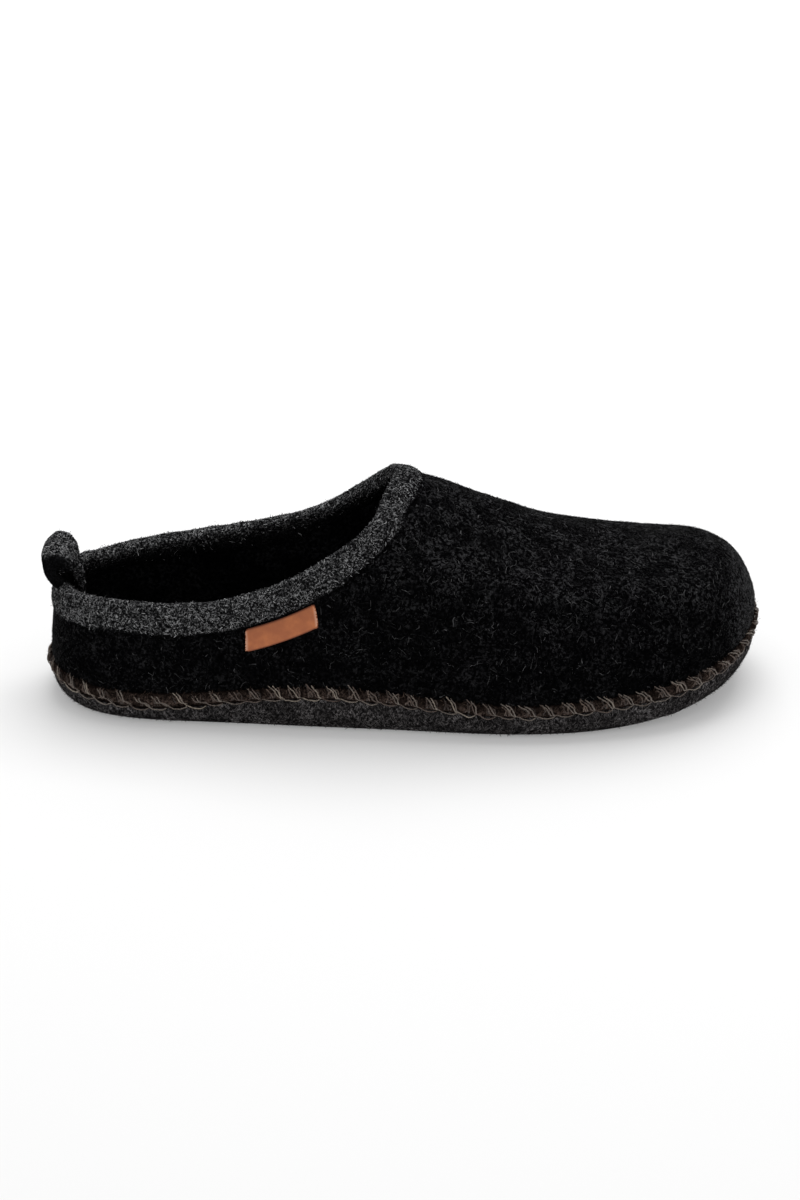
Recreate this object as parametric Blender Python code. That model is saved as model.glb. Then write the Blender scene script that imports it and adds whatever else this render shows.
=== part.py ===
"""House slipper of boiled wool felt, for the right foot.

The toe points along +X, the inner (medial) side along +Y, and the slipper stands on z = 0.
Every piece is worked out from the ribs of the last: plan lines that run from the sole's seam,
all round the slipper, up to the edge of the collar.
"""
import math

import bmesh
import bpy
import numpy as np

# Driving dimensions, in metres
LENGTH = 0.280
BALL_WIDTH = 0.100
INSTEP_HEIGHT = 0.090

# Felt thicknesses and the clearance between neighbouring pieces
UPPER_WALL = 0.003
BAND_THICKNESS = 0.0015
GAP = 0.0003

# Ribs round the slipper and points up each rib
RIB_COUNT = 80
RIB_STEPS = 15
RIB_CLUSTER = 2.2
COLLAR_CLUSTER = 1.6
WALK_STEPS = 240
WALL_ROUNDNESS = 2.2
SWELL = 1.6
SWELL_POWER = 6
SLOPE_NUDGE = 0.001
SHARP_ANGLE = math.radians(40)

# The last, rib by rib: from the heel's back along the outer side to the toe, and back along the inner side.
# Plan x is a share of LENGTH, plan y a share of BALL_WIDTH, heights z a share of INSTEP_HEIGHT.
# reach: plan distance over which the side wall turns over, as a share of BALL_WIDTH.
# share: part of the rib's rise that the side wall takes. power: how late the rest of the rise comes, with a
# swell in front of the collar that grows with it.
RIB_COLUMNS = ("seam_x", "seam_y", "seam_z", "collar_x", "collar_y", "collar_z", "reach", "share", "power")
LAST_RIBS = (
    ("heel back", 0.001, 0.00, 0.132, 0.0155, 0.00, 0.517, 0.12, 1.00, 1.0),
    ("outer quarter", 0.030, -0.22, 0.124, 0.042, -0.182, 0.526, 0.12, 1.00, 1.0),
    ("outer heel", 0.086, -0.32, 0.111, 0.092, -0.274, 0.541, 0.14, 1.00, 1.0),
    ("outer seat", 0.214, -0.38, 0.127, 0.210, -0.325, 0.549, 0.16, 1.00, 1.0),
    ("outer waist", 0.375, -0.425, 0.175, 0.345, -0.335, 0.677, 0.20, 0.92, 1.0),
    ("outer instep", 0.496, -0.455, 0.158, 0.415, -0.305, 0.805, 0.26, 0.78, 1.1),
    ("outer ball", 0.679, -0.488, 0.121, 0.463, -0.225, 0.922, 0.32, 0.57, 1.35),
    ("outer forefoot", 0.786, -0.450, 0.141, 0.473, -0.150, 0.962, 0.30, 0.53, 1.55),
    ("outer toe", 0.882, -0.360, 0.167, 0.481, -0.085, 0.987, 0.28, 0.51, 1.7),
    ("outer tip", 0.949, -0.210, 0.209, 0.488, -0.025, 0.997, 0.21, 0.49, 1.8),
    ("toe tip", 0.996, 0.17, 0.263, 0.490, 0.040, 0.998, 0.20, 0.475, 1.8),
    ("inner tip", 0.964, 0.390, 0.236, 0.488, 0.100, 0.988, 0.21, 0.447, 1.8),
    ("inner toe", 0.875, 0.485, 0.184, 0.480, 0.160, 0.955, 0.295, 0.43, 1.6),
    ("inner ball", 0.714, 0.500, 0.141, 0.460, 0.235, 0.876, 0.36, 0.52, 1.3),
    ("inner instep", 0.536, 0.405, 0.164, 0.417, 0.300, 0.762, 0.28, 0.74, 1.1),
    ("inner waist", 0.393, 0.320, 0.190, 0.350, 0.310, 0.663, 0.20, 0.92, 1.0),
    ("inner seat", 0.214, 0.335, 0.149, 0.210, 0.290, 0.588, 0.16, 1.00, 1.0),
    ("inner heel", 0.086, 0.290, 0.119, 0.092, 0.245, 0.534, 0.14, 1.00, 1.0),
    ("inner quarter", 0.030, 0.200, 0.127, 0.042, 0.168, 0.515, 0.12, 1.00, 1.0),
)
TOE_ROW = 10

# Sole: flat tread, rounded lower edge, toe spring and a low arch on the inner side
EDGE_INSET = 0.006
EDGE_STEPS = 4
TOE_SPRING = 0.0095
SPRING_START = 0.73 * LENGTH
HEEL_LIFT = 0.0015
HEEL_LIFT_END = 0.07 * LENGTH
ARCH_LIFT = 0.002
ARCH_START = 0.26 * LENGTH
ARCH_END = 0.56 * LENGTH
ARCH_SIDE = 0.3 * BALL_WIDTH
SOLE_THICKNESS = 0.0065
DISH_INSET = 0.010

# Insole: cupped footbed in the dish of the sole
INSOLE_THICKNESS = 0.004
INSOLE_EDGE = 0.002

# Seam welt: sewn edge over the joint of sole and upper, from just below the seam up the upper's wall
WELT_BELOW = 0.0008
WELT_ABOVE = 0.0042
WELT_PROUD = 0.0011
WELT_STEPS = 4

# Collar band: felt strip folded over the collar's edge, its outside leg narrower over the instep
BAND_OUTSIDE = 0.011
BAND_FRONT = 0.0098
BAND_NARROWS = (0.34 * LENGTH, 0.46 * LENGTH)
BAND_INSIDE = 0.009
BAND_UP_PROBE = 0.001
BAND_LEG_STEPS = 3
BAND_FOLD_STEPS = 4

# Pull loop: felt strip at the back of the heel, from the band's top over to the band's inside, leaning back
# and drooping towards the outer side
LOOP_WIDTH = 0.020
LOOP_THICKNESS = 0.0016
LOOP_TOP = 0.0625
LOOP_RADIUS = 0.0056
LOOP_OFFSET = 0.0009
LOOP_FOOT = 0.0018
LOOP_LEG = 0.005
LOOP_LEAN = 0.0017
LOOP_DROOP = 0.0030
LOOP_RISE_STEPS = 4
LOOP_ARC_STEPS = 10
LOOP_LEG_STEPS = 3
LOOP_COLUMNS = 6

# Side tag: leather tab under the band's lower edge, on the outer side
TAG_SIDE = (0.02, 0.4)
TAG_START = 0.079
TAG_LENGTH = 0.0275
TAG_HEIGHT = 0.009
TAG_THICKNESS = 0.0012
TAG_COLUMNS = 6
TAG_ROWS = 3

# Colours of the felts and of the leather: linear red, green and blue, then roughness
BLACK_FELT = ((0.012, 0.012, 0.013), 0.95)
GREY_FELT = ((0.075, 0.078, 0.083), 0.95)
SOLE_FELT = ((0.050, 0.047, 0.050), 0.95)
INSOLE_FELT = ((0.015, 0.015, 0.016), 0.95)
SEAM_THREAD = ((0.120, 0.085, 0.065), 0.85)
TAN_LEATHER = ((0.470, 0.165, 0.060), 0.55)


def table_knots():
    """Place of each table row round the slipper: 0 at the heel's back, 0.5 at the toe tip, below 1."""
    plan = np.array([(row[1] * LENGTH, row[2] * BALL_WIDTH) for row in LAST_RIBS])
    steps = np.linalg.norm(np.roll(plan, -1, axis=0) - plan, axis=1)
    outer = np.cumsum(steps[:TOE_ROW]) / steps[:TOE_ROW].sum() / 2
    inner = 0.5 + np.cumsum(steps[TOE_ROW:]) / steps[TOE_ROW:].sum() / 2
    return np.concatenate(([0.0], outer, inner))


def closed_spline(knots, values):
    """Second derivatives of the smooth closed curve through the table's rows."""
    count = len(values)
    steps = np.diff(knots)
    system = np.zeros((count, count))
    right = np.zeros_like(values)
    for k in range(count):
        after = (k + 1) % count
        system[k, k - 1] += steps[k - 1]
        system[k, k] += 2 * (steps[k - 1] + steps[k])
        system[k, after] += steps[k]
        rise_after = (values[after] - values[k]) / steps[k]
        rise_before = (values[k] - values[k - 1]) / steps[k - 1]
        right[k] = 6 * (rise_after - rise_before)
    return np.linalg.solve(system, right)


def last_ribs(places):
    """Columns of the last at any places round the slipper, in metres."""
    knots = table_knots()
    values = np.array([row[1:] for row in LAST_RIBS])
    bends = closed_spline(knots, values)
    places = np.mod(places, 1.0)
    row = np.clip(np.searchsorted(knots, places, side="right") - 1, 0, len(values) - 1)
    after = (row + 1) % len(values)
    step = knots[row + 1] - knots[row]
    b = ((places - knots[row]) / step)[:, None]
    a = 1 - b
    bend = ((a**3 - a) * bends[row] + (b**3 - b) * bends[after]) * (step**2)[:, None] / 6
    columns = a * values[row] + b * values[after] + bend
    scale = dict(x=LENGTH, y=BALL_WIDTH, z=INSTEP_HEIGHT, reach=BALL_WIDTH, share=1.0, power=1.0)
    return {name: columns[:, k] * scale[name.split("_")[-1]] for k, name in enumerate(RIB_COLUMNS)}


def wall_curve(part):
    """Quarter of a superellipse: upright at the seam, level where the wall has turned over."""
    inward = np.clip(1 - part, 0, 1)
    return (1 - inward**WALL_ROUNDNESS) ** (1 / WALL_ROUNDNESS)


def rib_points(places, shares):
    """Outer surface of the upper: one row of points for each place, from the seam (0) to the collar (1)."""
    rib = last_ribs(places)
    across = np.hypot(rib["collar_x"] - rib["seam_x"], rib["collar_y"] - rib["seam_y"])
    rise = rib["collar_z"] - rib["seam_z"]
    run = across[:, None] * shares
    wall = wall_curve(run / rib["reach"][:, None]) / wall_curve(across / rib["reach"])[:, None]
    power = rib["power"][:, None]
    ramp = shares**power + SWELL * (power - 1) * shares**SWELL_POWER * (1 - shares)
    points = np.empty(run.shape + (3,))
    for axis, name in enumerate("xy"):
        seam = rib["seam_" + name][:, None]
        points[..., axis] = seam + (rib["collar_" + name][:, None] - seam) * shares
    mix = rib["share"][:, None] * wall + (1 - rib["share"][:, None]) * ramp
    points[..., 2] = rib["seam_z"][:, None] + rise[:, None] * mix
    return points


def unit(vectors):
    return vectors / np.linalg.norm(vectors, axis=-1, keepdims=True)


def plan_normals(places):
    """Level directions that point out of the slipper at its seam."""
    ahead = last_ribs(places + SLOPE_NUDGE)
    behind = last_ribs(places - SLOPE_NUDGE)
    along_x = ahead["seam_x"] - behind["seam_x"]
    along_y = ahead["seam_y"] - behind["seam_y"]
    return unit(np.stack((along_y, -along_x, np.zeros_like(along_x)), axis=-1))


def surface_normals(sampler, places):
    """Outward directions of a surface that a sampler gives as rows of points, one row for each place."""
    around = sampler(places + SLOPE_NUDGE) - sampler(places - SLOPE_NUDGE)
    along = np.gradient(sampler(places), axis=1)
    return unit(np.cross(around, along))


def seam_ring(places, inset, height):
    """Ring of points that follows the seam's outline, moved inwards, at the given heights."""
    rib = last_ribs(places)
    ring = np.stack((rib["seam_x"], rib["seam_y"], height), axis=-1)
    ring[:, :2] -= inset * plan_normals(places)[:, :2]
    return ring


def smooth_step(part):
    part = np.clip(part, 0, 1)
    return part * part * (3 - 2 * part)


def tread_height(places):
    """Height of the sole's lower edge: flat tread, lifted at the heel's back, the inner arch and the toe."""
    rib = last_ribs(places)
    x = rib["seam_x"]
    toe = np.clip((x - SPRING_START) / (LENGTH - SPRING_START), 0, 1) ** 2
    back = np.clip(1 - x / HEEL_LIFT_END, 0, 1) ** 2
    middle = np.clip((x - ARCH_START) / (ARCH_END - ARCH_START), 0, 1)
    arch = np.sin(math.pi * middle) ** 2 * smooth_step(rib["seam_y"] / ARCH_SIDE)
    return TOE_SPRING * toe + HEEL_LIFT * back + ARCH_LIFT * arch


def felt(name, finish):
    colour, roughness = finish
    material = bpy.data.materials.new(name)
    material.use_nodes = True
    shader = material.node_tree.nodes["Principled BSDF"]
    shader.inputs["Base Color"].default_value = (*colour, 1.0)
    shader.inputs["Roughness"].default_value = roughness
    shader.inputs["Metallic"].default_value = 0.0
    return material


def ladder(count, turn):
    """Faces that close a ring of points, rung by rung: point j is opposite point turn - j."""
    faces = []
    for j in range((count + turn) // 2):
        rung = [j, j + 1, (turn - j - 1) % count, (turn - j) % count]
        faces.append(list(dict.fromkeys(rung)))
    return faces


def solid(name, sections, material, closed, turn=0):
    """Object swept through rings of points: a closed sweep meets itself, an open one gets end caps."""
    count, size, _ = sections.shape
    mesh = bpy.data.meshes.new(name)
    shape = bmesh.new()
    points = [shape.verts.new(point) for point in sections.reshape(-1, 3)]
    for i in range(count if closed else count - 1):
        here = i * size
        there = (i + 1) % count * size
        for j in range(size):
            k = (j + 1) % size
            shape.faces.new((points[here + j], points[here + k], points[there + k], points[there + j]))
    if not closed:
        for start in (0, (count - 1) * size):
            for rung in ladder(size, turn):
                shape.faces.new([points[start + j] for j in rung])
    bmesh.ops.recalc_face_normals(shape, faces=shape.faces)
    shape.to_mesh(mesh)
    shape.free()
    mesh.shade_smooth()
    mesh.set_sharp_from_angle(angle=SHARP_ANGLE)
    mesh.materials.append(material)
    piece = bpy.data.objects.new(name, mesh)
    bpy.context.scene.collection.objects.link(piece)
    return piece


def make_upper(places):
    """Hollow felt wall: the outer surface of the last and the same surface one wall further in."""
    shares = 1 - (1 - (np.arange(RIB_STEPS + 1) / RIB_STEPS) ** RIB_CLUSTER) ** COLLAR_CLUSTER
    outer = rib_points(places, shares)
    normals = surface_normals(lambda at: rib_points(at, shares), places)
    normals[:, 0] = plan_normals(places)
    inner = outer - UPPER_WALL * normals
    outer[:, 0, 2] += GAP
    inner[:, 0, 2] += GAP
    sections = np.concatenate((outer, inner[:, ::-1]), axis=1)
    return solid("upper", sections, felt("black_felt", BLACK_FELT), closed=True)


def make_sole(places):
    """Moulded felt dish: tread, rounded edge, side wall up to the seam, rim under the upper's wall."""
    seam = last_ribs(places)["seam_z"]
    tread = tread_height(places)
    rings = []
    for k in range(EDGE_STEPS + 1):
        angle = math.pi / 2 * k / EDGE_STEPS
        inset = EDGE_INSET * (1 - math.sin(angle))
        rings.append(seam_ring(places, inset, tread + (seam - tread) * (1 - math.cos(angle))))
    rings.append(seam_ring(places, UPPER_WALL + GAP, seam))
    rings.append(seam_ring(places, DISH_INSET, tread + SOLE_THICKNESS))
    return solid("sole", np.stack(rings), felt("sole_felt", SOLE_FELT), closed=False)


def make_insole(places):
    """Footbed that lies in the sole's dish, with its edge turned up along the upper's wall."""
    seam = last_ribs(places)["seam_z"] + GAP
    floor = tread_height(places) + SOLE_THICKNESS + GAP
    edge = UPPER_WALL + 2 * GAP
    rings = (
        seam_ring(places, DISH_INSET + GAP, floor),
        seam_ring(places, edge, seam),
        seam_ring(places, edge, seam + INSOLE_EDGE),
        seam_ring(places, DISH_INSET, floor + INSOLE_THICKNESS),
    )
    return solid("insole", np.stack(rings), felt("insole_felt", INSOLE_FELT), closed=False)


def walk_ribs(places, distances, from_collar):
    """Points on the upper's outer surface at given distances along each rib, from its collar or its seam:
    one list of distances for all the places, or one for each."""
    distances = np.broadcast_to(distances, (len(places), np.shape(distances)[-1]))
    shares = np.linspace(0, 1, WALK_STEPS + 1) ** RIB_CLUSTER
    ribs = rib_points(places, shares)
    if from_collar:
        ribs = ribs[:, ::-1]
    points = np.empty(distances.shape + (3,))
    for i, rib in enumerate(ribs):
        walked = np.concatenate(([0.0], np.cumsum(np.linalg.norm(np.diff(rib, axis=0), axis=1))))
        for axis in range(3):
            points[i, :, axis] = np.interp(distances[i], walked, rib[:, axis])
    return points


def below_collar(places, distances):
    return walk_ribs(places, distances, from_collar=True)


def above_seam(places, distances):
    return walk_ribs(places, distances, from_collar=False)


def make_seam_welt(places):
    """Sewn edge over the joint of sole and upper: its inside lies along both, its outside is rounded."""
    heights = np.linspace(0, WELT_ABOVE, WELT_STEPS + 1)
    wall = above_seam(places, heights)
    out = surface_normals(lambda at: above_seam(at, heights), places)
    foot = seam_ring(places, -GAP, last_ribs(places)["seam_z"] - WELT_BELOW)
    inside = np.concatenate((foot[:, None], wall + GAP * out), axis=1)
    bulge = WELT_PROUD * np.sin(math.pi * np.arange(1, WELT_STEPS + 1) / (WELT_STEPS + 1))
    outside = inside[:, 1:-1] + bulge[:, None] * out[:, :-1]
    sections = np.concatenate((inside, outside[:, ::-1]), axis=1)
    return solid("seam_welt", sections, felt("seam_thread", SEAM_THREAD), closed=True)


def collar_frame(places, distances):
    """Points below the collar's edge, their outward directions, and the upward direction at the edge."""
    points = below_collar(places, distances)
    normals = -surface_normals(lambda at: below_collar(at, distances), places)
    edge = below_collar(places, (0.0, BAND_UP_PROBE))
    return points, normals, unit(edge[:, 0] - edge[:, 1])


def band_leg(places):
    """Length of the band's outside leg at each place."""
    forward = last_ribs(places)["collar_x"] - BAND_NARROWS[0]
    narrow = smooth_step(forward / (BAND_NARROWS[1] - BAND_NARROWS[0]))
    return BAND_OUTSIDE + (BAND_FRONT - BAND_OUTSIDE) * narrow


def make_collar_band(places):
    """Felt strip folded over the collar's edge, clear of the upper on both sides."""
    outside = band_leg(places)[:, None] * np.linspace(0, 1, BAND_LEG_STEPS + 1)
    inside = np.linspace(0, BAND_INSIDE, BAND_LEG_STEPS)
    outer, outer_normals, up = collar_frame(places, outside)
    outer = outer[:, ::-1]
    outer_normals = outer_normals[:, ::-1]
    inner, inner_normals, up = collar_frame(places, inside)
    edge = inner[:, 0]
    out = inner_normals[:, 0]
    clear = GAP + BAND_THICKNESS
    middle = edge - out * UPPER_WALL / 2
    fold = []
    for k in range(1, BAND_FOLD_STEPS):
        angle = math.pi * k / BAND_FOLD_STEPS
        fold.append(middle + out * (UPPER_WALL / 2 + clear) * math.cos(angle) + up * clear * math.sin(angle))
    slot = [edge + up * GAP - out * (UPPER_WALL + GAP), edge + up * GAP + out * GAP]
    sections = np.concatenate((
        outer + clear * outer_normals,
        np.stack(fold, axis=1),
        inner - (UPPER_WALL + clear) * inner_normals,
        (inner - (UPPER_WALL + GAP) * inner_normals)[:, :0:-1],
        np.stack(slot, axis=1),
        (outer + GAP * outer_normals)[:, -2::-1],
    ), axis=1)
    return solid("collar_band", sections, felt("band_felt", GREY_FELT), closed=True)


def make_pull_loop():
    """Felt strip that rises from the band's top at the heel's back and comes down along the band's inside."""
    spread = LOOP_WIDTH / 2 / girth_at_heel()
    places = np.linspace(-spread, spread, LOOP_COLUMNS + 1)
    edge, normals, _ = collar_frame(places, (0.0, BAND_UP_PROBE))
    out = unit(normals[:, 0] * (1, 1, 0))
    middle = edge[:, 0] - out * UPPER_WALL / 2
    half = LOOP_THICKNESS / 2
    droop = LOOP_DROOP * smooth_step(places / spread)
    rise = np.arange(LOOP_RISE_STEPS) / LOOP_RISE_STEPS
    turn = math.pi * np.arange(LOOP_ARC_STEPS + 1) / LOOP_ARC_STEPS
    leg = np.arange(1, LOOP_LEG_STEPS + 1) / LOOP_LEG_STEPS
    away = np.concatenate((
        LOOP_FOOT + (LOOP_OFFSET + LOOP_RADIUS - LOOP_FOOT) * np.sin(math.pi / 2 * rise),
        LOOP_OFFSET + LOOP_RADIUS * np.cos(turn),
        np.full(LOOP_LEG_STEPS, LOOP_OFFSET - LOOP_RADIUS),
    ))
    sections = []
    for column, point in enumerate(middle):
        foot = point[2] + GAP + BAND_THICKNESS
        centre = LOOP_TOP - half - LOOP_RADIUS - droop[column]
        tip = point[2] - LOOP_LEG
        height = np.concatenate((
            foot + (centre - foot) * rise,
            centre + LOOP_RADIUS * np.sin(turn),
            centre + (tip - centre) * leg,
        ))
        lean = LOOP_LEAN * np.clip((height - foot) / (LOOP_TOP - foot), 0, 1)
        line = np.stack((away + lean, height), axis=-1)
        along = unit(np.gradient(line, axis=0))
        side = half * np.stack((along[:, 1], -along[:, 0]), axis=-1)
        outline = np.concatenate((line + side, (line - side)[::-1]))
        ring = point + outline[:, :1] * out[column]
        ring[:, 2] = outline[:, 1]
        sections.append(ring)
    return solid("pull_loop", np.stack(sections), felt("loop_felt", GREY_FELT), closed=False, turn=-1)


def girth_at_heel():
    """Length of the collar's edge for one whole turn of places, at the pace it has at the heel's back."""
    ends = below_collar(np.array([-SLOPE_NUDGE, SLOPE_NUDGE]), (0.0,))[:, 0]
    return np.linalg.norm(ends[1] - ends[0]) / (2 * SLOPE_NUDGE)


def make_side_tag():
    """Leather tab on the upper's outer side, its top edge along the band's lower edge."""
    search = np.linspace(*TAG_SIDE, WALK_STEPS + 1)
    along = below_collar(search, (BAND_OUTSIDE + TAG_HEIGHT / 2,))[:, 0, 0]
    ends = np.interp((TAG_START, TAG_START + TAG_LENGTH), along, search)
    places = np.linspace(ends[0], ends[1], TAG_COLUMNS + 1)
    down = BAND_OUTSIDE + GAP + TAG_HEIGHT * np.linspace(0, 1, TAG_ROWS + 1)
    points, normals, _ = collar_frame(places, down)
    inner = points + GAP * normals
    outer = points + (GAP + TAG_THICKNESS) * normals
    ring = np.concatenate((outer, inner[:, ::-1]), axis=1)
    return solid("side_tag", ring, felt("tan_leather", TAN_LEATHER), closed=False, turn=-1)


def stand_at_origin(pieces):
    """Parent the pieces to an empty, so that the middle of the slipper's foot print is the origin."""
    points = np.array([vertex.co for piece in pieces for vertex in piece.data.vertices])
    low = points.min(axis=0)
    high = points.max(axis=0)
    stand = bpy.data.objects.new("slipper", None)
    bpy.context.scene.collection.objects.link(stand)
    stand.location = (-(low[0] + high[0]) / 2, -(low[1] + high[1]) / 2, -low[2])
    for piece in pieces:
        piece.parent = stand


for leftover in list(bpy.data.objects):
    bpy.data.objects.remove(leftover)

around = np.arange(RIB_COUNT) / RIB_COUNT
stand_at_origin([
    make_sole(around),
    make_insole(around),
    make_upper(around),
    make_seam_welt(around),
    make_collar_band(around),
    make_pull_loop(),
    make_side_tag(),
])
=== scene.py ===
"""Looks of a felt house slipper for the right foot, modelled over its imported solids.

The toe points along +X, the inner side along +Y, and the slipper stands on z = 0. Sizes are in metres.
"""
import math

import bmesh
import bpy
import numpy as np
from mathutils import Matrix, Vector, noise


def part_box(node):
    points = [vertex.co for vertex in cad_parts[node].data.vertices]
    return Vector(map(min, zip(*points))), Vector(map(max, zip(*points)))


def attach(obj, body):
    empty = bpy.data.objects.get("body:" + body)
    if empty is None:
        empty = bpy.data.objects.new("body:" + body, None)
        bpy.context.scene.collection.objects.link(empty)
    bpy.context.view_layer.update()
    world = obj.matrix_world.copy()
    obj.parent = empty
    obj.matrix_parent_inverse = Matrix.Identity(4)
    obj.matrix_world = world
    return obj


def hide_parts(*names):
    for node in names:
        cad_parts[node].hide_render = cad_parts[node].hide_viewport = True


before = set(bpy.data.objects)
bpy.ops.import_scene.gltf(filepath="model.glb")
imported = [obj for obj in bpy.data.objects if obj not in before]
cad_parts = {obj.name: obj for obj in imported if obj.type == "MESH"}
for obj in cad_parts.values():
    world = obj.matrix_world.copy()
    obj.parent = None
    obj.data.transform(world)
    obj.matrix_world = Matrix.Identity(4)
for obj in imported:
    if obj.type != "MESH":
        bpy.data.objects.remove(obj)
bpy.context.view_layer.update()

# Sole
# A shallow dish of dense grey wool felt with a flat tread, a round edge and a side wall up to the seam.
# The last is given by its ribs, plan lines from the seam up to the collar's edge. It shapes all the pieces.
LENGTH = 0.280
BALL_WIDTH = 0.100
INSTEP_HEIGHT = 0.090
CAD_RIBS = 80

# Plan x is a share of LENGTH, plan y a share of BALL_WIDTH, heights z a share of INSTEP_HEIGHT.
# reach: plan distance over which the side wall turns over, as a share of BALL_WIDTH.
# share: part of the rib's rise that the side wall takes. power: how late the rest of the rise comes, with a
# swell in front of the collar that grows with it.
RIB_COLUMNS = ("seam_x", "seam_y", "seam_z", "collar_x", "collar_y", "collar_z", "reach", "share", "power")
LAST_RIBS = (
    ("heel back", 0.001, 0.00, 0.132, 0.0155, 0.00, 0.517, 0.12, 1.00, 1.0),
    ("outer quarter", 0.030, -0.22, 0.124, 0.042, -0.182, 0.526, 0.12, 1.00, 1.0),
    ("outer heel", 0.086, -0.32, 0.111, 0.092, -0.274, 0.541, 0.14, 1.00, 1.0),
    ("outer seat", 0.214, -0.38, 0.127, 0.210, -0.325, 0.549, 0.16, 1.00, 1.0),
    ("outer waist", 0.375, -0.425, 0.175, 0.345, -0.335, 0.677, 0.20, 0.92, 1.0),
    ("outer instep", 0.496, -0.455, 0.158, 0.415, -0.305, 0.805, 0.26, 0.78, 1.1),
    ("outer ball", 0.679, -0.488, 0.121, 0.463, -0.225, 0.922, 0.32, 0.57, 1.35),
    ("outer forefoot", 0.786, -0.450, 0.141, 0.473, -0.150, 0.962, 0.30, 0.53, 1.55),
    ("outer toe", 0.882, -0.360, 0.167, 0.481, -0.085, 0.987, 0.28, 0.51, 1.7),
    ("outer tip", 0.949, -0.210, 0.209, 0.488, -0.025, 0.997, 0.21, 0.49, 1.8),
    ("toe tip", 0.996, 0.17, 0.263, 0.490, 0.040, 0.998, 0.20, 0.475, 1.8),
    ("inner tip", 0.964, 0.390, 0.236, 0.488, 0.100, 0.988, 0.21, 0.447, 1.8),
    ("inner toe", 0.875, 0.485, 0.184, 0.480, 0.160, 0.955, 0.295, 0.43, 1.6),
    ("inner ball", 0.714, 0.500, 0.141, 0.460, 0.235, 0.876, 0.36, 0.52, 1.3),
    ("inner instep", 0.536, 0.405, 0.164, 0.417, 0.300, 0.762, 0.28, 0.74, 1.1),
    ("inner waist", 0.393, 0.320, 0.190, 0.350, 0.310, 0.663, 0.20, 0.92, 1.0),
    ("inner seat", 0.214, 0.335, 0.149, 0.210, 0.290, 0.588, 0.16, 1.00, 1.0),
    ("inner heel", 0.086, 0.290, 0.119, 0.092, 0.245, 0.534, 0.14, 1.00, 1.0),
    ("inner quarter", 0.030, 0.200, 0.127, 0.042, 0.168, 0.515, 0.12, 1.00, 1.0),
)
TOE_ROW = 10
UPPER_WALL = 0.003
GAP = 0.0003
SLOPE_NUDGE = 0.001

EDGE_INSET = 0.006
EDGE_STEPS = 12
TOE_SPRING = 0.0095
SPRING_START = 0.73 * LENGTH
HEEL_LIFT = 0.0015
HEEL_LIFT_END = 0.07 * LENGTH
ARCH_LIFT = 0.002
ARCH_START = 0.26 * LENGTH
ARCH_END = 0.56 * LENGTH
ARCH_SIDE = 0.3 * BALL_WIDTH
SOLE_THICKNESS = 0.0065
DISH_INSET = 0.010
TREAD_RUNGS = 24
DISH_RUNGS = 8
AROUND_STEPS = 360
AROUND = np.arange(AROUND_STEPS) / AROUND_STEPS
MERGE = 1e-6


def table_knots():
    """Place of each row round the slipper: 0 at the heel's back, 0.5 at the toe tip, 1 at the heel again."""
    plan = np.array([(row[1] * LENGTH, row[2] * BALL_WIDTH) for row in LAST_RIBS])
    steps = np.linalg.norm(np.roll(plan, -1, axis=0) - plan, axis=1)
    outer = np.cumsum(steps[:TOE_ROW]) / steps[:TOE_ROW].sum() / 2
    inner = 0.5 + np.cumsum(steps[TOE_ROW:]) / steps[TOE_ROW:].sum() / 2
    return np.concatenate(([0.0], outer, inner))


def closed_spline(knots, values):
    """Second derivatives of the smooth closed curve through the table's rows."""
    steps = np.diff(knots)[:, None]
    before = np.roll(steps, 1, axis=0)
    own = np.eye(len(values))
    system = 2 * (before + steps) * own + before * np.roll(own, -1, axis=1) + steps * np.roll(own, 1, axis=1)
    rise = (np.roll(values, -1, axis=0) - values) / steps
    return np.linalg.solve(system, 6 * (rise - np.roll(rise, 1, axis=0)))


def last_ribs(places):
    """Columns of the last at any places round the slipper, in metres from the heel."""
    knots = table_knots()
    values = np.array([row[1:] for row in LAST_RIBS])
    bends = closed_spline(knots, values)
    places = np.mod(places, 1.0)
    row = np.clip(np.searchsorted(knots, places, side="right") - 1, 0, len(values) - 1)
    after = (row + 1) % len(values)
    step = knots[row + 1] - knots[row]
    b = ((places - knots[row]) / step)[:, None]
    a = 1 - b
    bend = ((a**3 - a) * bends[row] + (b**3 - b) * bends[after]) * (step**2)[:, None] / 6
    columns = a * values[row] + b * values[after] + bend
    scale = dict(x=LENGTH, y=BALL_WIDTH, z=INSTEP_HEIGHT, reach=BALL_WIDTH, share=1.0, power=1.0)
    return {name: columns[:, k] * scale[name.split("_")[-1]] for k, name in enumerate(RIB_COLUMNS)}


def unit(vectors):
    return vectors / np.linalg.norm(vectors, axis=-1, keepdims=True)


def smooth_step(values, low=0.0, high=1.0):
    """Soft step: 0 below low, 1 above high."""
    part = np.clip((values - low) / (high - low), 0, 1)
    return part * part * (3 - 2 * part)


def blend(low, high, share):
    """Runs from low, where the share is 0, to high, where it is 1."""
    return low + (high - low) * share


def bell(values, middle, run):
    """1 at the middle, falling away over the run on both sides."""
    return np.exp(-(((values - middle) / run) ** 2))


def plan_normals(places):
    """Level directions that point out of the slipper at its seam."""
    ahead = last_ribs(places + SLOPE_NUDGE)
    behind = last_ribs(places - SLOPE_NUDGE)
    along_x = ahead["seam_x"] - behind["seam_x"]
    along_y = ahead["seam_y"] - behind["seam_y"]
    return unit(np.stack((along_y, -along_x, np.zeros_like(along_x)), axis=-1))


def seam_ring(places, inset, height):
    """Ring of points that follows the seam's outline, moved inwards, at the given heights."""
    rib = last_ribs(places)
    ring = np.stack((rib["seam_x"], rib["seam_y"], height), axis=-1)
    ring[:, :2] -= inset * plan_normals(places)[:, :2]
    return ring


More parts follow.
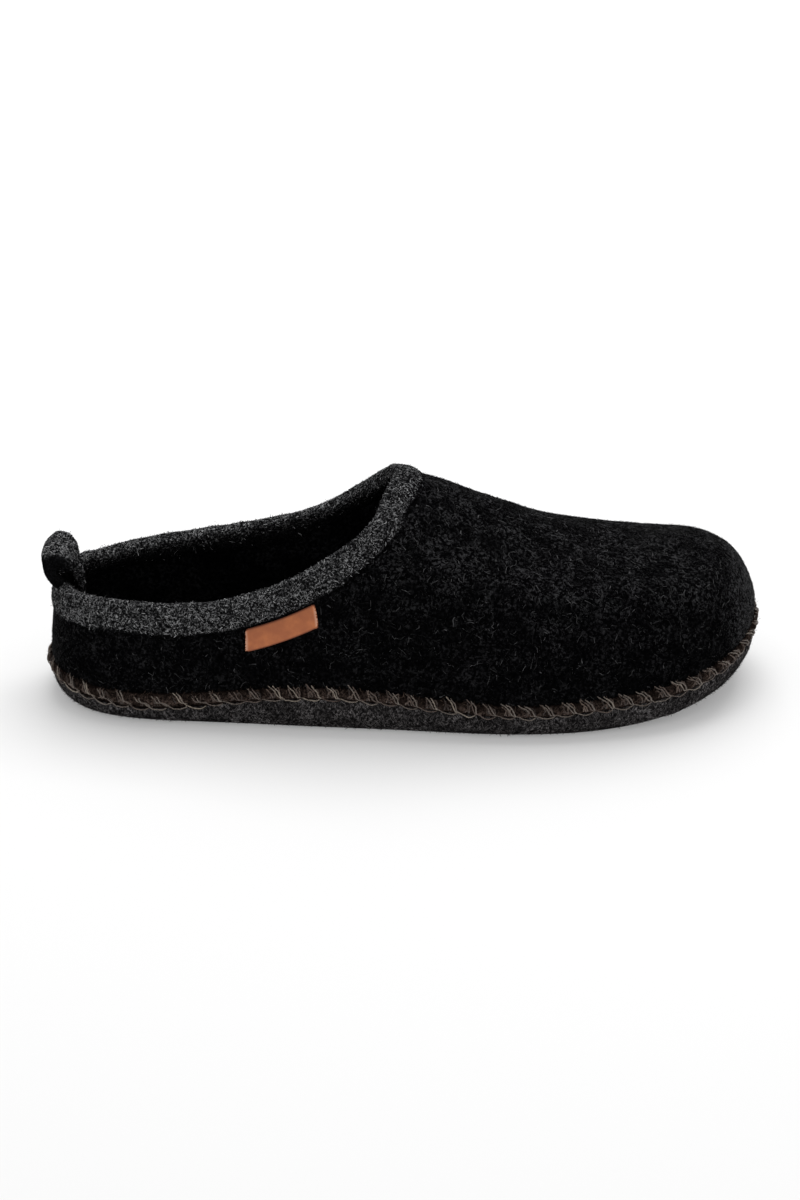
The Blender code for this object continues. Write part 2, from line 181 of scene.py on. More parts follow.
def tread_height(places):
    """Height of the sole's lower edge: flat tread, lifted at the heel's back, the inner arch and the toe."""
    rib = last_ribs(places)
    x = rib["seam_x"]
    toe = np.clip((x - SPRING_START) / (LENGTH - SPRING_START), 0, 1) ** 2
    back = np.clip(1 - x / HEEL_LIFT_END, 0, 1) ** 2
    middle = np.clip((x - ARCH_START) / (ARCH_END - ARCH_START), 0, 1)
    arch = np.sin(math.pi * middle) ** 2 * smooth_step(rib["seam_y"] / ARCH_SIDE)
    return TOE_SPRING * toe + HEEL_LIFT * back + ARCH_LIFT * arch


def sole_side(places):
    """Rings up the sole's round edge, from its tread to the seam."""
    seam = last_ribs(places)["seam_z"]
    tread = tread_height(places)
    rings = []
    for angle in np.linspace(0, math.pi / 2, EDGE_STEPS + 1):
        inset = EDGE_INSET * (1 - math.sin(angle))
        rings.append(seam_ring(places, inset, blend(tread, seam, 1 - math.cos(angle))))
    return np.stack(rings)


def rungs(ring, count):
    """Grid across a ring of points: each rung joins two points that face each other."""
    half = len(ring) // 2
    left = ring[:half + 1]
    right = ring[-np.arange(half + 1)]
    share = np.linspace(0, 1, count + 1)[:, None]
    return left[:, None] * (1 - share) + right[:, None] * share


def strip(points, rows_close=False, columns_close=False, nap=0.0, tint=1.0):
    """Grid of points, whether its rows and its columns close on themselves, its share of loose nap,
    and how much light wool it shows, which painted shade lowers in places."""
    shape = points.shape[:2]
    index = np.arange(shape[0] * shape[1]).reshape(shape)
    if rows_close:
        index = np.vstack((index, index[:1]))
    if columns_close:
        index = np.hstack((index, index[:, :1]))
    corners = (index[:-1, :-1], index[:-1, 1:], index[1:, 1:], index[1:, :-1])
    return {
        "points": points.reshape(-1, 3) + HEEL,
        "faces": np.stack(corners, axis=-1).reshape(-1, 4),
        "nap": np.broadcast_to(nap, shape).ravel(),
        "tint": np.broadcast_to(tint, shape).ravel(),
    }


def placed(name, data):
    """An object for a mesh, a curve, a lamp or a camera, linked into the scene."""
    piece = bpy.data.objects.new(name, data)
    bpy.context.scene.collection.objects.link(piece)
    return piece


def wander(points, size):
    """Soft noise of a given size at each point, from -1 to 1."""
    return np.array([noise.noise(Vector(point) / size) for point in points])


def raise_felt(mesh, waves, rest):
    """Moves a surface along its normals by soft noise: each wave is a size and a height.
    Below the height rest the felt is pressed flat by the floor."""
    spots = np.array([vertex.co for vertex in mesh.vertices])
    normals = np.array([normal.vector for normal in mesh.vertex_normals])
    lift = sum(height * wander(spots, size) for size, height in waves)
    if rest:
        lift *= smooth_step(spots[:, 2] / rest)
    mesh.vertices.foreach_set("co", (spots + lift[:, None] * normals).ravel())
    mesh.update()


def felt_mesh(name, strips, waves=(), rest=0.0):
    """Mesh of strips, joined where they meet and raised by waves, with their nap and tint as attributes."""
    starts = np.cumsum([0] + [len(part["points"]) for part in strips])
    points = np.concatenate([part["points"] for part in strips])
    faces = np.concatenate([part["faces"] + start for part, start in zip(strips, starts)])
    mesh = bpy.data.meshes.new(name)
    mesh.from_pydata(points.tolist(), [], faces.tolist())
    for label in ("nap", "tint"):
        values = np.concatenate([part[label] for part in strips])
        mesh.attributes.new(label, "FLOAT", "POINT").data.foreach_set("value", values)
    shape = bmesh.new()
    shape.from_mesh(mesh)
    bmesh.ops.remove_doubles(shape, verts=shape.verts, dist=MERGE)
    bmesh.ops.recalc_face_normals(shape, faces=shape.faces)
    shape.to_mesh(mesh)
    shape.free()
    mesh.shade_smooth()
    if waves:
        raise_felt(mesh, waves, rest)
    return placed(name, mesh)


def settle(piece, node=None, finish=None):
    """Lets a piece ride on the slipper, the solid that it stands for, and its finish."""
    if finish:
        piece.data.materials.append(finish)
    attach(piece, "root")
    if node:
        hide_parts(node)


def pick(sockets, name):
    """A node's socket by its place, or by its name among those in use."""
    if isinstance(name, int):
        return sockets[name]
    return next(socket for socket in sockets if socket.enabled and socket.name == name)


def operator(operation):
    """The two methods of an operator, for a wire on its left and for one on its right."""
    def on_left(wire, other):
        return wire.maths(operation, wire, other)

    def on_right(wire, other):
        return wire.maths(operation, other, wire)

    return on_left, on_right


class Wire:
    """A socket of a node tree, so that its maths reads as Python expressions."""

    def __init__(self, tree, socket=None):
        self.tree = tree
        self.socket = socket

    def feed(self, node, sockets):
        """Gives a node's sockets their values or links."""
        for name, value in sockets.items():
            socket = pick(node.inputs, name)
            if isinstance(value, Wire):
                self.tree.links.new(value.socket, socket)
            else:
                socket.default_value = value

    def paint(self, sockets):
        """Feeds the shader of a material."""
        self.feed(self.tree.nodes["Principled BSDF"], sockets)

    def node(self, kind, sockets=None, out=0, **settings):
        """Adds a node: its settings first, then the values or links of its sockets."""
        node = self.tree.nodes.new(kind)
        for name, value in settings.items():
            setattr(node, name, value)
        self.feed(node, sockets or {})
        return Wire(self.tree, pick(node.outputs, out)) if node.outputs else None

    def __getitem__(self, name):
        """Another output of the same node."""
        return Wire(self.tree, pick(self.socket.node.outputs, name))

    def maths(self, operation, *values):
        return self.node("ShaderNodeMath", dict(enumerate(values)), operation=operation)

    def vector(self, operation, other, out=0):
        return self.node("ShaderNodeVectorMath", {0: self, 1: other}, out, operation=operation)

    def scaled(self, share):
        """A vector times a number."""
        return self.node("ShaderNodeVectorMath", {0: self, "Scale": share}, operation="SCALE")

    def joined(self, x=0.0, y=0.0, z=0.0):
        return self.node("ShaderNodeCombineXYZ", {0: x, 1: y, 2: z})

    def split(self):
        return self.node("ShaderNodeSeparateXYZ", {0: self})

    def between(self, low, high):
        """Soft step: 0 below low, 1 above high."""
        sockets = {"Value": self, "From Min": low, "From Max": high}
        return self.node("ShaderNodeMapRange", sockets, interpolation_type="SMOOTHSTEP")

    def noise(self, scale, out=0, **sockets):
        """Noise over the place that this wire gives."""
        return self.node("ShaderNodeTexNoise", {"Vector": self, "Scale": scale, **sockets}, out)

    def mix(self, share, first, second):
        """First colour where the share is 0, second where it is 1."""
        sockets = {"Factor": share, "A": first, "B": second}
        return self.node("ShaderNodeMix", sockets, "Result", data_type="RGBA")

    def ramp(self, stops):
        """A colour for each value: stops are values and colours."""
        colour = self.node("ShaderNodeValToRGB", {0: self})
        elements = colour.socket.node.color_ramp.elements
        while len(elements) < len(stops):
            elements.new(1.0)
        for element, (position, shade) in zip(elements, stops):
            element.position = position
            element.color = (*shade, 1.0)
        return colour

    def read(self, name, kind="FLOAT"):
        """A named attribute."""
        return self.node("GeometryNodeInputNamedAttribute", {"Name": name}, "Attribute", data_type=kind)

    def stored(self, name, value, kind="FLOAT", domain="POINT"):
        """This geometry with a named attribute."""
        sockets = {"Geometry": self, "Name": name, "Value": value}
        return self.node("GeometryNodeStoreNamedAttribute", sockets, data_type=kind, domain=domain)

    def drawn(self, low, high, turn):
        """A random number for each element, from the seed that the tree is given."""
        sockets = {"Min": low, "Max": high, "Seed": self["Seed"] + turn}
        return self.node("FunctionNodeRandomValue", sockets, "Value", data_type="FLOAT")

    def swayed(self, scale, reach):
        """A shift that wanders from place to place, by up to half the reach each way."""
        wave = self.node("GeometryNodeInputPosition").noise(scale, "Color")
        return wave.vector("SUBTRACT", (0.5, 0.5, 0.5)).scaled(reach)

    def turned(self, **angles):
        """This rotation, turned on by angles about its own axes."""
        angle = self.node("FunctionNodeEulerToRotation", {0: self.joined(**angles)})
        return self.node("FunctionNodeRotateRotation", {0: self, 1: angle}, rotation_space="LOCAL")

    def moved(self, **sockets):
        """This geometry with a new Position for its points, or an Offset."""
        return self.node("GeometryNodeSetPosition", {"Geometry": self, **sockets})

    def planted(self, shape, rotation, size):
        """A copy of a shape on each of these points."""
        sockets = {"Points": self, "Instance": shape, "Rotation": rotation, "Scale": size}
        copies = self.node("GeometryNodeInstanceOnPoints", sockets)
        return self.node("GeometryNodeRealizeInstances", {0: copies})

    def dressed(self, tone, finish):
        """This mesh, smooth and in a finish, with a map of each strand's tone and of the way along it."""
        mesh = self.stored("OFBake", self.joined(tone, self.read("along")), "FLOAT2", "CORNER")
        mesh = self.node("GeometryNodeSetShadeSmooth", {"Geometry": mesh})
        return self.node("GeometryNodeSetMaterial", {"Geometry": mesh, "Material": finish})

    __add__, __radd__ = operator("ADD")
    __sub__, __rsub__ = operator("SUBTRACT")
    __mul__, __rmul__ = operator("MULTIPLY")
    __truediv__, __rtruediv__ = operator("DIVIDE")
    __pow__, __rpow__ = operator("POWER")


def new_finish(name, looks):
    """A material whose shader has the same looks all over, and a wire to build the rest on."""
    material = bpy.data.materials.new(name)
    material.use_nodes = True
    wire = Wire(material.node_tree)
    wire.paint(looks)
    return material, wire


MATT = {"Roughness": 1.0, "Specular IOR Level": 0.0, "Sheen Roughness": 0.15}
HAIR_LAYERS = 3
HAIR_SHARPNESS = 12
FLECK_PITCH = 1.7
FLECK_EDGES = (-0.08, 0.12)
CLUMP_PITCH = 0.28
CLUMP_EDGES = (0.35, 0.65)
CLUMP_GAIN = 1.25
HAIR_RELIEF = 0.4
FLECK_RELIEF = 0.8


def felt_finish(name, dark, light, curl, relief, stretch=(1, 1, 1), bare=0.5, even=0.25, sheen=0.0):
    """Matt wool felt: curls of light wool, broken by clumps of dark wool, and a bump of both.
    curl: size of the curls. stretch: how they run. bare: how much dark wool shows between them.
    even: how much light wool the dark clumps keep. sheen: light that the fuzz catches along an outline."""
    material, wire = new_finish(name, {**MATT, "Sheen Weight": sheen})
    place = wire.node("ShaderNodeTexCoord", out="Object")
    tint = wire.node("ShaderNodeAttribute", out="Fac", attribute_name="tint")
    hair = 0.0
    for layer in range(HAIR_LAYERS):
        run = {"Vector": place, "Location": (layer, layer, layer), "Scale": stretch}
        field = wire.node("ShaderNodeMapping", run).noise(1 / curl, Detail=2.0, Distortion=0.5)
        hair = wire.maths("MAXIMUM", 1 - wire.maths("ABSOLUTE", field - 0.5) * HAIR_SHARPNESS, hair)
    fleck = place.noise(FLECK_PITCH / curl, Detail=3.0)
    clump = place.noise(CLUMP_PITCH / curl, Detail=2.0)
    wool = hair * fleck.between(bare + FLECK_EDGES[0], bare + FLECK_EDGES[1])
    # The tint attribute scales the light wool; where it is lowered as painted shade, the felt shows darker.
    tone = wool * (even + clump.between(*CLUMP_EDGES) * (CLUMP_GAIN - even)) * tint
    height = hair * HAIR_RELIEF + fleck * FLECK_RELIEF + clump
    bump = wire.node("ShaderNodeBump", {"Height": height, "Distance": relief, "Strength": 1.0})
    wire.paint({"Base Color": wire.mix(tone, (*dark, 1), (*light, 1)), "Normal": bump})
    return material


STRAND_ROOT = 0.4


def fibre_finish(name, stops, sheen=0.0):
    """Loose wool fibres, each of one tone: stops are tones and colours, and painted shade darkens the roots.
    """
    material, wire = new_finish(name, {**MATT, "Roughness": 0.9, "Sheen Weight": sheen})
    strand = wire.node("ShaderNodeUVMap", uv_map="OFBake").split()
    shade = STRAND_ROOT + strand["Y"] * (1 - STRAND_ROOT)
    wire.paint({"Base Color": strand.ramp(stops).scaled(shade)})
    return material


def new_tree(name, inputs, output):
    """Geometry node tree with inputs of each kind and one output, and the wire of its first input."""
    tree = bpy.data.node_groups.new(name, "GeometryNodeTree")
    for kind, labels in inputs.items():
        for label in labels:
            tree.interface.new_socket(label, in_out="INPUT", socket_type="NodeSocket" + kind)
    tree.interface.new_socket(output, in_out="OUTPUT", socket_type="NodeSocketGeometry")
    return tree, Wire(tree).node("NodeGroupInput")


LIFT_SPREAD = (0.2, 1.4)
LENGTH_SPREAD = (0.5, 1.5)
STRAND_GRID = {"Vertices X": 4, "Vertices Y": 2}
STRAND_TAPER = 0.6
LEAST_TINT = 0.02
SWAY_FLATTENED = 0.85
MAP_MARGIN = 0.02


def nap_tree():
    """Geometry nodes that grow loose wool fibres on a surface, as many as its nap attribute asks for."""
    tree, given = new_tree("felt_nap", {
        "Geometry": ("Felt",),
        "Float": ("Density", "Length", "Width", "Spread", "Lift", "Curl", "Curl size", "Floor"),
        "Vector": ("Lay",),
        "Int": ("Seed",),
        "Material": ("Finish",),
    }, "Nap")
    density = given.read("nap") * given["Density"]
    sockets = {"Mesh": given, "Density": density, "Seed": given["Seed"]}
    points = given.node("GeometryNodeDistributePointsOnFaces", sockets)
    out = points["Normal"]
    axes = {"Primary Axis": out, "Secondary Axis": given["Lay"]}
    rotation = given.node("FunctionNodeAxesToRotation", axes, primary_axis="Z", secondary_axis="X")
    rotation = rotation.turned(z=given.drawn(given["Spread"] * -1, given["Spread"], 1))
    rotation = rotation.turned(y=given.drawn(*LIFT_SPREAD, 2) * given["Lift"] * -1)
    # A low tint gives the fibres darker tones, so they carry its painted shade too.
    dark = 1 / given.maths("MAXIMUM", given.read("tint"), LEAST_TINT)
    points = points.stored("tone", given.drawn(0.0, 1.0, 3) ** dark)
    points = points.stored("out", out, "FLOAT_VECTOR")

    position = given.node("GeometryNodeInputPosition").split()
    along = position + 0.5
    sides = position["Y"] * (1 - along * STRAND_TAPER)
    strand = given.node("GeometryNodeMeshGrid", STRAND_GRID).moved(Position=given.joined(along, sides))
    strand = strand.stored("along", position).stored("across", position["Y"])
    length = given.drawn(*LENGTH_SPREAD, 4) * given["Length"]
    nap = points.planted(strand, rotation, given.joined(length, given["Width"], length))

    sway = given.swayed(1 / given["Curl size"], given["Curl"] * (given.read("along") * 2))
    out = given.read("out", "FLOAT_VECTOR")
    sway = sway.vector("SUBTRACT", out.scaled(sway.vector("DOT_PRODUCT", out, "Value") * SWAY_FLATTENED))
    nap = nap.moved(Offset=sway)
    spot = given.node("GeometryNodeInputPosition").split()
    height = given.maths("MAXIMUM", spot["Z"], given["Floor"])
    nap = nap.moved(Position=given.joined(spot, spot["Y"], height))
    tone = given.read("tone") * (1 - 2 * MAP_MARGIN) + given.read("across") * MAP_MARGIN + MAP_MARGIN
    given.node("NodeGroupOutput", {"Nap": nap.dressed(tone, given["Finish"])})
    return tree


def grown(name, carrier, tree, inputs):
    """Runs a tree on a carrier and keeps what it makes as a plain mesh of its own."""
    modifier = carrier.modifiers.new(name, "NODES")
    modifier.node_group = tree
    for item in tree.interface.items_tree:
        if item.name in inputs:
            modifier[item.identifier] = inputs[item.name]
    graph = bpy.context.evaluated_depsgraph_get()
    mesh = bpy.data.meshes.new_from_object(carrier.evaluated_get(graph), depsgraph=graph)
    mesh.name = name
    carrier.modifiers.remove(modifier)
    return placed(name, mesh)


at_ribs = last_ribs(np.arange(CAD_RIBS) / CAD_RIBS)
sole_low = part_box("sole")[0]
HEEL = np.array((sole_low[0] - at_ribs["seam_x"].min(), sole_low[1] - at_ribs["seam_y"].min(), 0.0))
UP = (0.0, 0.0, 1.0)
FLOOR_CLEAR = 0.0002
FELT_NAP = nap_tree()


def add_nap(name, carrier, finish, seed, density, length, width, lift, curl, curl_size,
            spread=math.pi, lay=UP):
    """Grows loose wool on a piece and lets it ride along. Most of it lies in all directions."""
    nap = grown(name, carrier, FELT_NAP, {
        "Density": density, "Length": length, "Width": width, "Spread": spread, "Lift": lift, "Lay": lay,
        "Curl": curl, "Curl size": curl_size, "Floor": FLOOR_CLEAR, "Seed": seed, "Finish": finish,
    })
    settle(nap)


seam_height = last_ribs(AROUND)["seam_z"]
side = sole_side(AROUND)
rim = seam_ring(AROUND, UPPER_WALL + GAP, seam_height)
dish = seam_ring(AROUND, DISH_INSET, tread_height(AROUND) + SOLE_THICKNESS)
SOLE_TOE = 0.6 * LENGTH
SOLE_TOE_GAIN = 0.35
SIDE_NAP_RISE = 2.5
side_nap = smooth_step(np.arange(EDGE_STEPS + 1) / EDGE_STEPS * SIDE_NAP_RISE)[:, None]
side_tint = 1 + SOLE_TOE_GAIN * smooth_step(side[..., 0], SOLE_TOE, LENGTH)
SOLE_WAVES = ((0.012, 0.0003), (0.004, 0.00015))
sole = felt_mesh("sole", [
    strip(side, columns_close=True, nap=side_nap, tint=side_tint),
    strip(np.stack((side[-1], rim, dish)), columns_close=True),
    strip(rungs(side[0], TREAD_RUNGS)),
    strip(rungs(dish, DISH_RUNGS)),
], SOLE_WAVES, rest=0.004)
settle(sole, "sole", felt_finish(
    "sole_felt", dark=(0.006, 0.0055, 0.006), light=(0.164, 0.154, 0.155),
    curl=0.0018, relief=0.0004, stretch=(1, 1, 0.5), bare=0.48,
))

SOLE_WOOL = (
    (0.0, (0.003, 0.003, 0.003)),
    (0.42, (0.011, 0.010, 0.010)),
    (0.72, (0.049, 0.046, 0.046)),
    (1.0, (0.172, 0.162, 0.163)),
)
add_nap(
    "sole_nap", sole, fibre_finish("sole_wool", SOLE_WOOL), seed=3, density=2.2e6,
    length=0.0018, width=0.00028, lift=0.10, curl=0.0014, curl_size=0.0016, spread=0.9,
)

# Insole
# A cupped footbed of black felt that lies in the dish of the sole, its edge turned up along the upper's wall.
# It is put in loose, and is seen only through the collar.
INSOLE_THICKNESS = 0.004
INSOLE_EDGE = 0.002
INSOLE_RUNGS = 36
insole_seam = seam_height + GAP
insole_floor = tread_height(AROUND) + SOLE_THICKNESS + GAP
insole_side = UPPER_WALL + 2 * GAP
insole_under = seam_ring(AROUND, DISH_INSET + GAP, insole_floor)
insole_top = seam_ring(AROUND, DISH_INSET, insole_floor + INSOLE_THICKNESS)
insole_foot = seam_ring(AROUND, insole_side, insole_seam)
insole_rim = seam_ring(AROUND, insole_side, insole_seam + INSOLE_EDGE)
insole = felt_mesh("insole", [
    strip(np.stack((insole_under, insole_foot, insole_rim)), columns_close=True),
    strip(np.stack((insole_rim, insole_top)), columns_close=True, nap=1.0),
    strip(rungs(insole_under, DISH_RUNGS)),
    strip(rungs(insole_top, INSOLE_RUNGS), nap=1.0),
])
settle(insole, "insole", felt_finish(
    "insole_felt", dark=(0.002, 0.002, 0.0022), light=(0.030, 0.030, 0.032), curl=0.0020, relief=0.0004,
))

BLACK_WOOL = (
    (0.0, (0.0012, 0.0012, 0.0014)),
    (0.62, (0.0028, 0.0028, 0.0031)),
    (0.86, (0.012, 0.012, 0.0127)),
    (1.0, (0.115, 0.115, 0.118)),
)
add_nap(
    "insole_nap", insole, fibre_finish("insole_wool", BLACK_WOOL), seed=5, density=2.0e5,
    length=0.0025, width=0.0003, lift=0.12, curl=0.002, curl_size=0.0018, lay=(1.0, 0.0, 0.0),
)

# Upper
# One hollow wall of black boiled wool, moulded over the last, with a closed toe and a low closed back.
# Milling leaves curled fibres of black and grey wool all over it, and wear has pressed soft hollows into it.
RISE_STEPS = 56
LINING_STEPS = 20
RISE_CLUSTER = 2.0
COLLAR_CLUSTER = 1.4
WALL_ROUNDNESS = 2.2
SWELL = 1.6
SWELL_POWER = 6
# Painted shade: the sides and the lining keep this share of the light wool, which shows in full where the
# surface faces up as far as the next value.
SHADED_SIDE_TINT = 0.36
FULLY_LIT_LEVEL = 0.85
PATCH_SIZE = 0.0065
PATCH_DEPTH = 0.18
PATCH_GAIN = 2
CREASE_FADES = (6, 5)
TIP_START = 0.945 * LENGTH
TIP_END = 0.985 * LENGTH
TIP_GAIN = 3.0
TIP_SWELL = 0.0011
TIP_PLACE = 0.54
TIP_RUN = 0.05
TIP_FOOT = 0.004
TIP_HEIGHT = 0.022

# Soft hollows (depth above 0) and ridges in the felt. Places are shares of LENGTH and BALL_WIDTH in plan.
CREASE_COLUMNS = ("from_x", "from_y", "to_x", "to_y", "width", "depth")
CREASES = (
    ("flex of the toes", 0.665, -0.40, 0.705, 0.38, 0.011, 0.0008),
    ("flex of the ball", 0.590, -0.36, 0.610, 0.30, 0.009, 0.0005),
    ("swell over the toes", 0.800, -0.20, 0.840, 0.34, 0.018, -0.0006),
    ("hollow behind the tag", 0.250, -0.44, 0.275, -0.30, 0.012, 0.0007),
    ("hollow of the waist", 0.455, -0.47, 0.435, -0.30, 0.014, 0.0008),
    ("hollow of the heel", 0.060, -0.36, 0.070, -0.22, 0.010, 0.0005),
    ("inner waist", 0.410, 0.40, 0.420, 0.26, 0.016, 0.0009),
    ("inner heel", 0.120, 0.34, 0.130, 0.22, 0.012, 0.0006),
)


def wall_curve(part):
    """Quarter of a superellipse: upright at the seam, level where the wall has turned over."""
    inward = np.clip(1 - part, 0, 1)
    return (1 - inward**WALL_ROUNDNESS) ** (1 / WALL_ROUNDNESS)


def rib_points(places, shares):
    """Outer surface of the upper: one row of points for each place, from the seam (0) to the collar (1)."""
    rib = last_ribs(places)
    across = np.hypot(rib["collar_x"] - rib["seam_x"], rib["collar_y"] - rib["seam_y"])
    rise = rib["collar_z"] - rib["seam_z"]
    run = across[:, None] * shares
    wall = wall_curve(run / rib["reach"][:, None]) / wall_curve(across / rib["reach"])[:, None]
    power = rib["power"][:, None]
    ramp = shares**power + SWELL * (power - 1) * shares**SWELL_POWER * (1 - shares)
    points = np.empty(run.shape + (3,))
    for axis, name in enumerate("xy"):
        seam = rib["seam_" + name][:, None]
        points[..., axis] = blend(seam, rib["collar_" + name][:, None], shares)
    mix = rib["share"][:, None] * wall + (1 - rib["share"][:, None]) * ramp
    points[..., 2] = rib["seam_z"][:, None] + rise[:, None] * mix
    return points


def surface_normals(sampler, places, steps):
    """Outward directions of a surface: its sampler gives a row of points for each place, one at each step."""
    around = sampler(places + SLOPE_NUDGE, steps) - sampler(places - SLOPE_NUDGE, steps)
    along = np.gradient(sampler(places, steps), axis=1)
    return unit(np.cross(around, along))


def crease_depth(points):
    """How far the hollows press in the felt at each point, from its distance in plan to their lines."""
    depth = np.zeros(points.shape[:-1])
    for _, *values in CREASES:
        crease = dict(zip(CREASE_COLUMNS, values))
        start = np.array((crease["from_x"] * LENGTH, crease["from_y"] * BALL_WIDTH))
        run = np.array((crease["to_x"] * LENGTH, crease["to_y"] * BALL_WIDTH)) - start
        offset = points[..., :2] - start
        share = np.clip(offset @ run / (run @ run), 0, 1)
        away = np.linalg.norm(offset - share[..., None] * run, axis=-1)
        depth += crease["depth"] * bell(away, 0, crease["width"])
    return depth


def upper_wall(places, shares, inward):
    """The outer surface of the upper, or the same surface further in, clear of the sole at its foot."""
    points = rib_points(places, shares)
    normals = surface_normals(rib_points, places, shares)
    normals[:, 0] = plan_normals(places)
    fade = smooth_step(shares * CREASE_FADES[0]) * smooth_step((1 - shares) * CREASE_FADES[1])
    points = points - (inward + crease_depth(points) * fade)[..., None] * normals
    points[:, 0, 2] += GAP
    return points


def rise_shares(count):
    """Places up a rib, closer together at the seam and at the collar."""
    return 1 - (1 - np.linspace(0, 1, count + 1) ** RISE_CLUSTER) ** COLLAR_CLUSTER


def patches(points, size, depth):
    """Soft patches where light wool gathers: 1 on average, lower and higher by the depth."""
    values = wander(points.reshape(-1, 3), size).reshape(points.shape[:-1])
    return 1 + depth * np.clip(PATCH_GAIN * values, -1, 1)


rise = rise_shares(RISE_STEPS)
lining_rise = rise_shares(LINING_STEPS)
above_foot = rib_points(AROUND, rise)[..., 2] - seam_height[:, None]
at_tip = bell(AROUND, TIP_PLACE, TIP_RUN)
tip_swell = smooth_step(above_foot / TIP_FOOT - 1) * (1 - smooth_step(above_foot / TIP_HEIGHT))
outer_wall = upper_wall(AROUND, rise, -TIP_SWELL * at_tip[:, None] * tip_swell)
inner_wall = upper_wall(AROUND, lining_rise, UPPER_WALL)[:, ::-1]
upper_nap = np.concatenate((np.full(RISE_STEPS + 1, 1.0), np.full(LINING_STEPS + 1, 0.0)))
# Painted shade: the outer wall's light wool is dimmed where it faces sideways and shows in full where it
# faces up; the lining is dimmed as the sides are.
level = surface_normals(rib_points, AROUND, rise)[..., 2]
outer_tint_and_shade = blend(SHADED_SIDE_TINT, 1, smooth_step(level / FULLY_LIT_LEVEL))
outer_tint_and_shade *= patches(outer_wall, PATCH_SIZE, PATCH_DEPTH)
outer_tint_and_shade += TIP_GAIN * smooth_step(outer_wall[..., 0], TIP_START, TIP_END)
upper_tint = np.concatenate((outer_tint_and_shade, np.full(inner_wall.shape[:2], SHADED_SIDE_TINT)), axis=1)
upper_sections = np.concatenate((outer_wall, inner_wall), axis=1)
UPPER_WAVES = ((0.014, 0.0003), (0.005, 0.0002))
upper = felt_mesh("upper", [strip(upper_sections, True, True, upper_nap, upper_tint)], UPPER_WAVES)
BLACK_SHEEN = 0.09
settle(upper, "upper", felt_finish(
    "black_felt", dark=(0.0012, 0.0012, 0.0014), light=(0.034, 0.034, 0.036),
    curl=0.0022, relief=0.0004, sheen=BLACK_SHEEN,
))

upper_wool = fibre_finish("black_wool", BLACK_WOOL, sheen=BLACK_SHEEN)
add_nap(
    "upper_nap", upper, upper_wool, seed=11, density=5.0e5,
    length=0.0026, width=0.00026, lift=0.08, curl=0.0030, curl_size=0.0016,
)
add_nap(
    "upper_fuzz", upper, upper_wool, seed=12, density=4.0e5,
    length=0.0016, width=0.00021, lift=0.16, curl=0.0022, curl_size=0.0016,
)

# Seam welt and stitches
# The edges of upper and sole are sewn together through a strip of brown felt that stands proud of both.
# A thick taupe yarn runs round it as a blanket stitch: a strand along the seam, and prongs up the upper.
WELT_BELOW = 0.0008
SEAM_DIP = 0.0016
SEAM_DIP_AT = 0.085
SEAM_DIP_RUN = 0.05
WELT_ABOVE = 0.0042
WELT_PROUD = 0.0011
WELT_STEPS = 8
WELT_FLUSH = 0.8
WELT_SHADE = 0.35
WALK_STEPS = 240


def walk_ribs(places, distances, from_collar):
    """Points on the upper's outer surface at given distances along each rib, from its collar or its seam:
    one list of distances for all the places, or one for each."""
    distances = np.broadcast_to(distances, (len(places), np.shape(distances)[-1]))
    shares = np.linspace(0, 1, WALK_STEPS + 1) ** RISE_CLUSTER
    ribs = rib_points(places, shares)
    if from_collar:
        ribs = ribs[:, ::-1]
    points = np.empty(distances.shape + (3,))
    for i, rib in enumerate(ribs):
        walked = np.concatenate(([0.0], np.cumsum(np.linalg.norm(np.diff(rib, axis=0), axis=1))))
        for axis in range(3):
            points[i, :, axis] = np.interp(distances[i], walked, rib[:, axis])
    return points


def below_collar(places, distances):
    return walk_ribs(places, distances, from_collar=True)


def above_seam(places, distances):
    return walk_ribs(places, distances, from_collar=False)


welt_heights = np.linspace(0, WELT_ABOVE, WELT_STEPS + 1)
welt_wall = above_seam(AROUND, welt_heights)
welt_out = surface_normals(above_seam, AROUND, welt_heights)
seam_dip = SEAM_DIP * bell(AROUND, SEAM_DIP_AT, SEAM_DIP_RUN)
welt_foot = seam_ring(AROUND, -GAP, seam_height - WELT_BELOW - seam_dip)
welt_inside = np.concatenate((welt_foot[:, None], welt_wall + GAP * welt_out), axis=1)
welt_bulge = WELT_PROUD * np.sin(math.pi * np.arange(1, WELT_STEPS + 1) / (WELT_STEPS + 1))
welt_flush = 1 - WELT_FLUSH * at_tip
welt_outside = welt_inside[:, 1:-1] + (welt_flush[:, None] * welt_bulge)[..., None] * welt_out[:, :-1]
welt_sections = np.concatenate((welt_inside, welt_outside[:, ::-1]), axis=1)
welt_nap = np.concatenate((np.zeros(WELT_STEPS + 2), np.ones(WELT_STEPS)))
# Painted shade: the light wool on the welt's outer face is dimmed towards its top, where it meets the upper;
# its inner faces show none.
welt_tint = np.concatenate((np.zeros(WELT_STEPS + 2), np.linspace(WELT_SHADE, 1, WELT_STEPS)))
WELT_WAVES = ((0.0035, 0.0002),)
seam_welt = felt_mesh("seam_welt", [strip(welt_sections, True, True, welt_nap, welt_tint)], WELT_WAVES)
settle(seam_welt, "seam_welt", felt_finish(
    "seam_felt", dark=(0.006, 0.004, 0.0035), light=(0.105, 0.076, 0.064),
    curl=0.0016, relief=0.0003, bare=0.42,
))

WELT_WOOL = (
    (0.0, (0.003, 0.0022, 0.002)),
    (0.3, (0.009, 0.0062, 0.0052)),
    (0.7, (0.036, 0.025, 0.020)),
    (1.0, (0.110, 0.080, 0.064)),
)
add_nap(
    "seam_nap", seam_welt, fibre_finish("seam_wool", WELT_WOOL), seed=15, density=1.5e6,
    length=0.0018, width=0.00026, lift=0.12, curl=0.0016, curl_size=0.0014, spread=1.2,
)

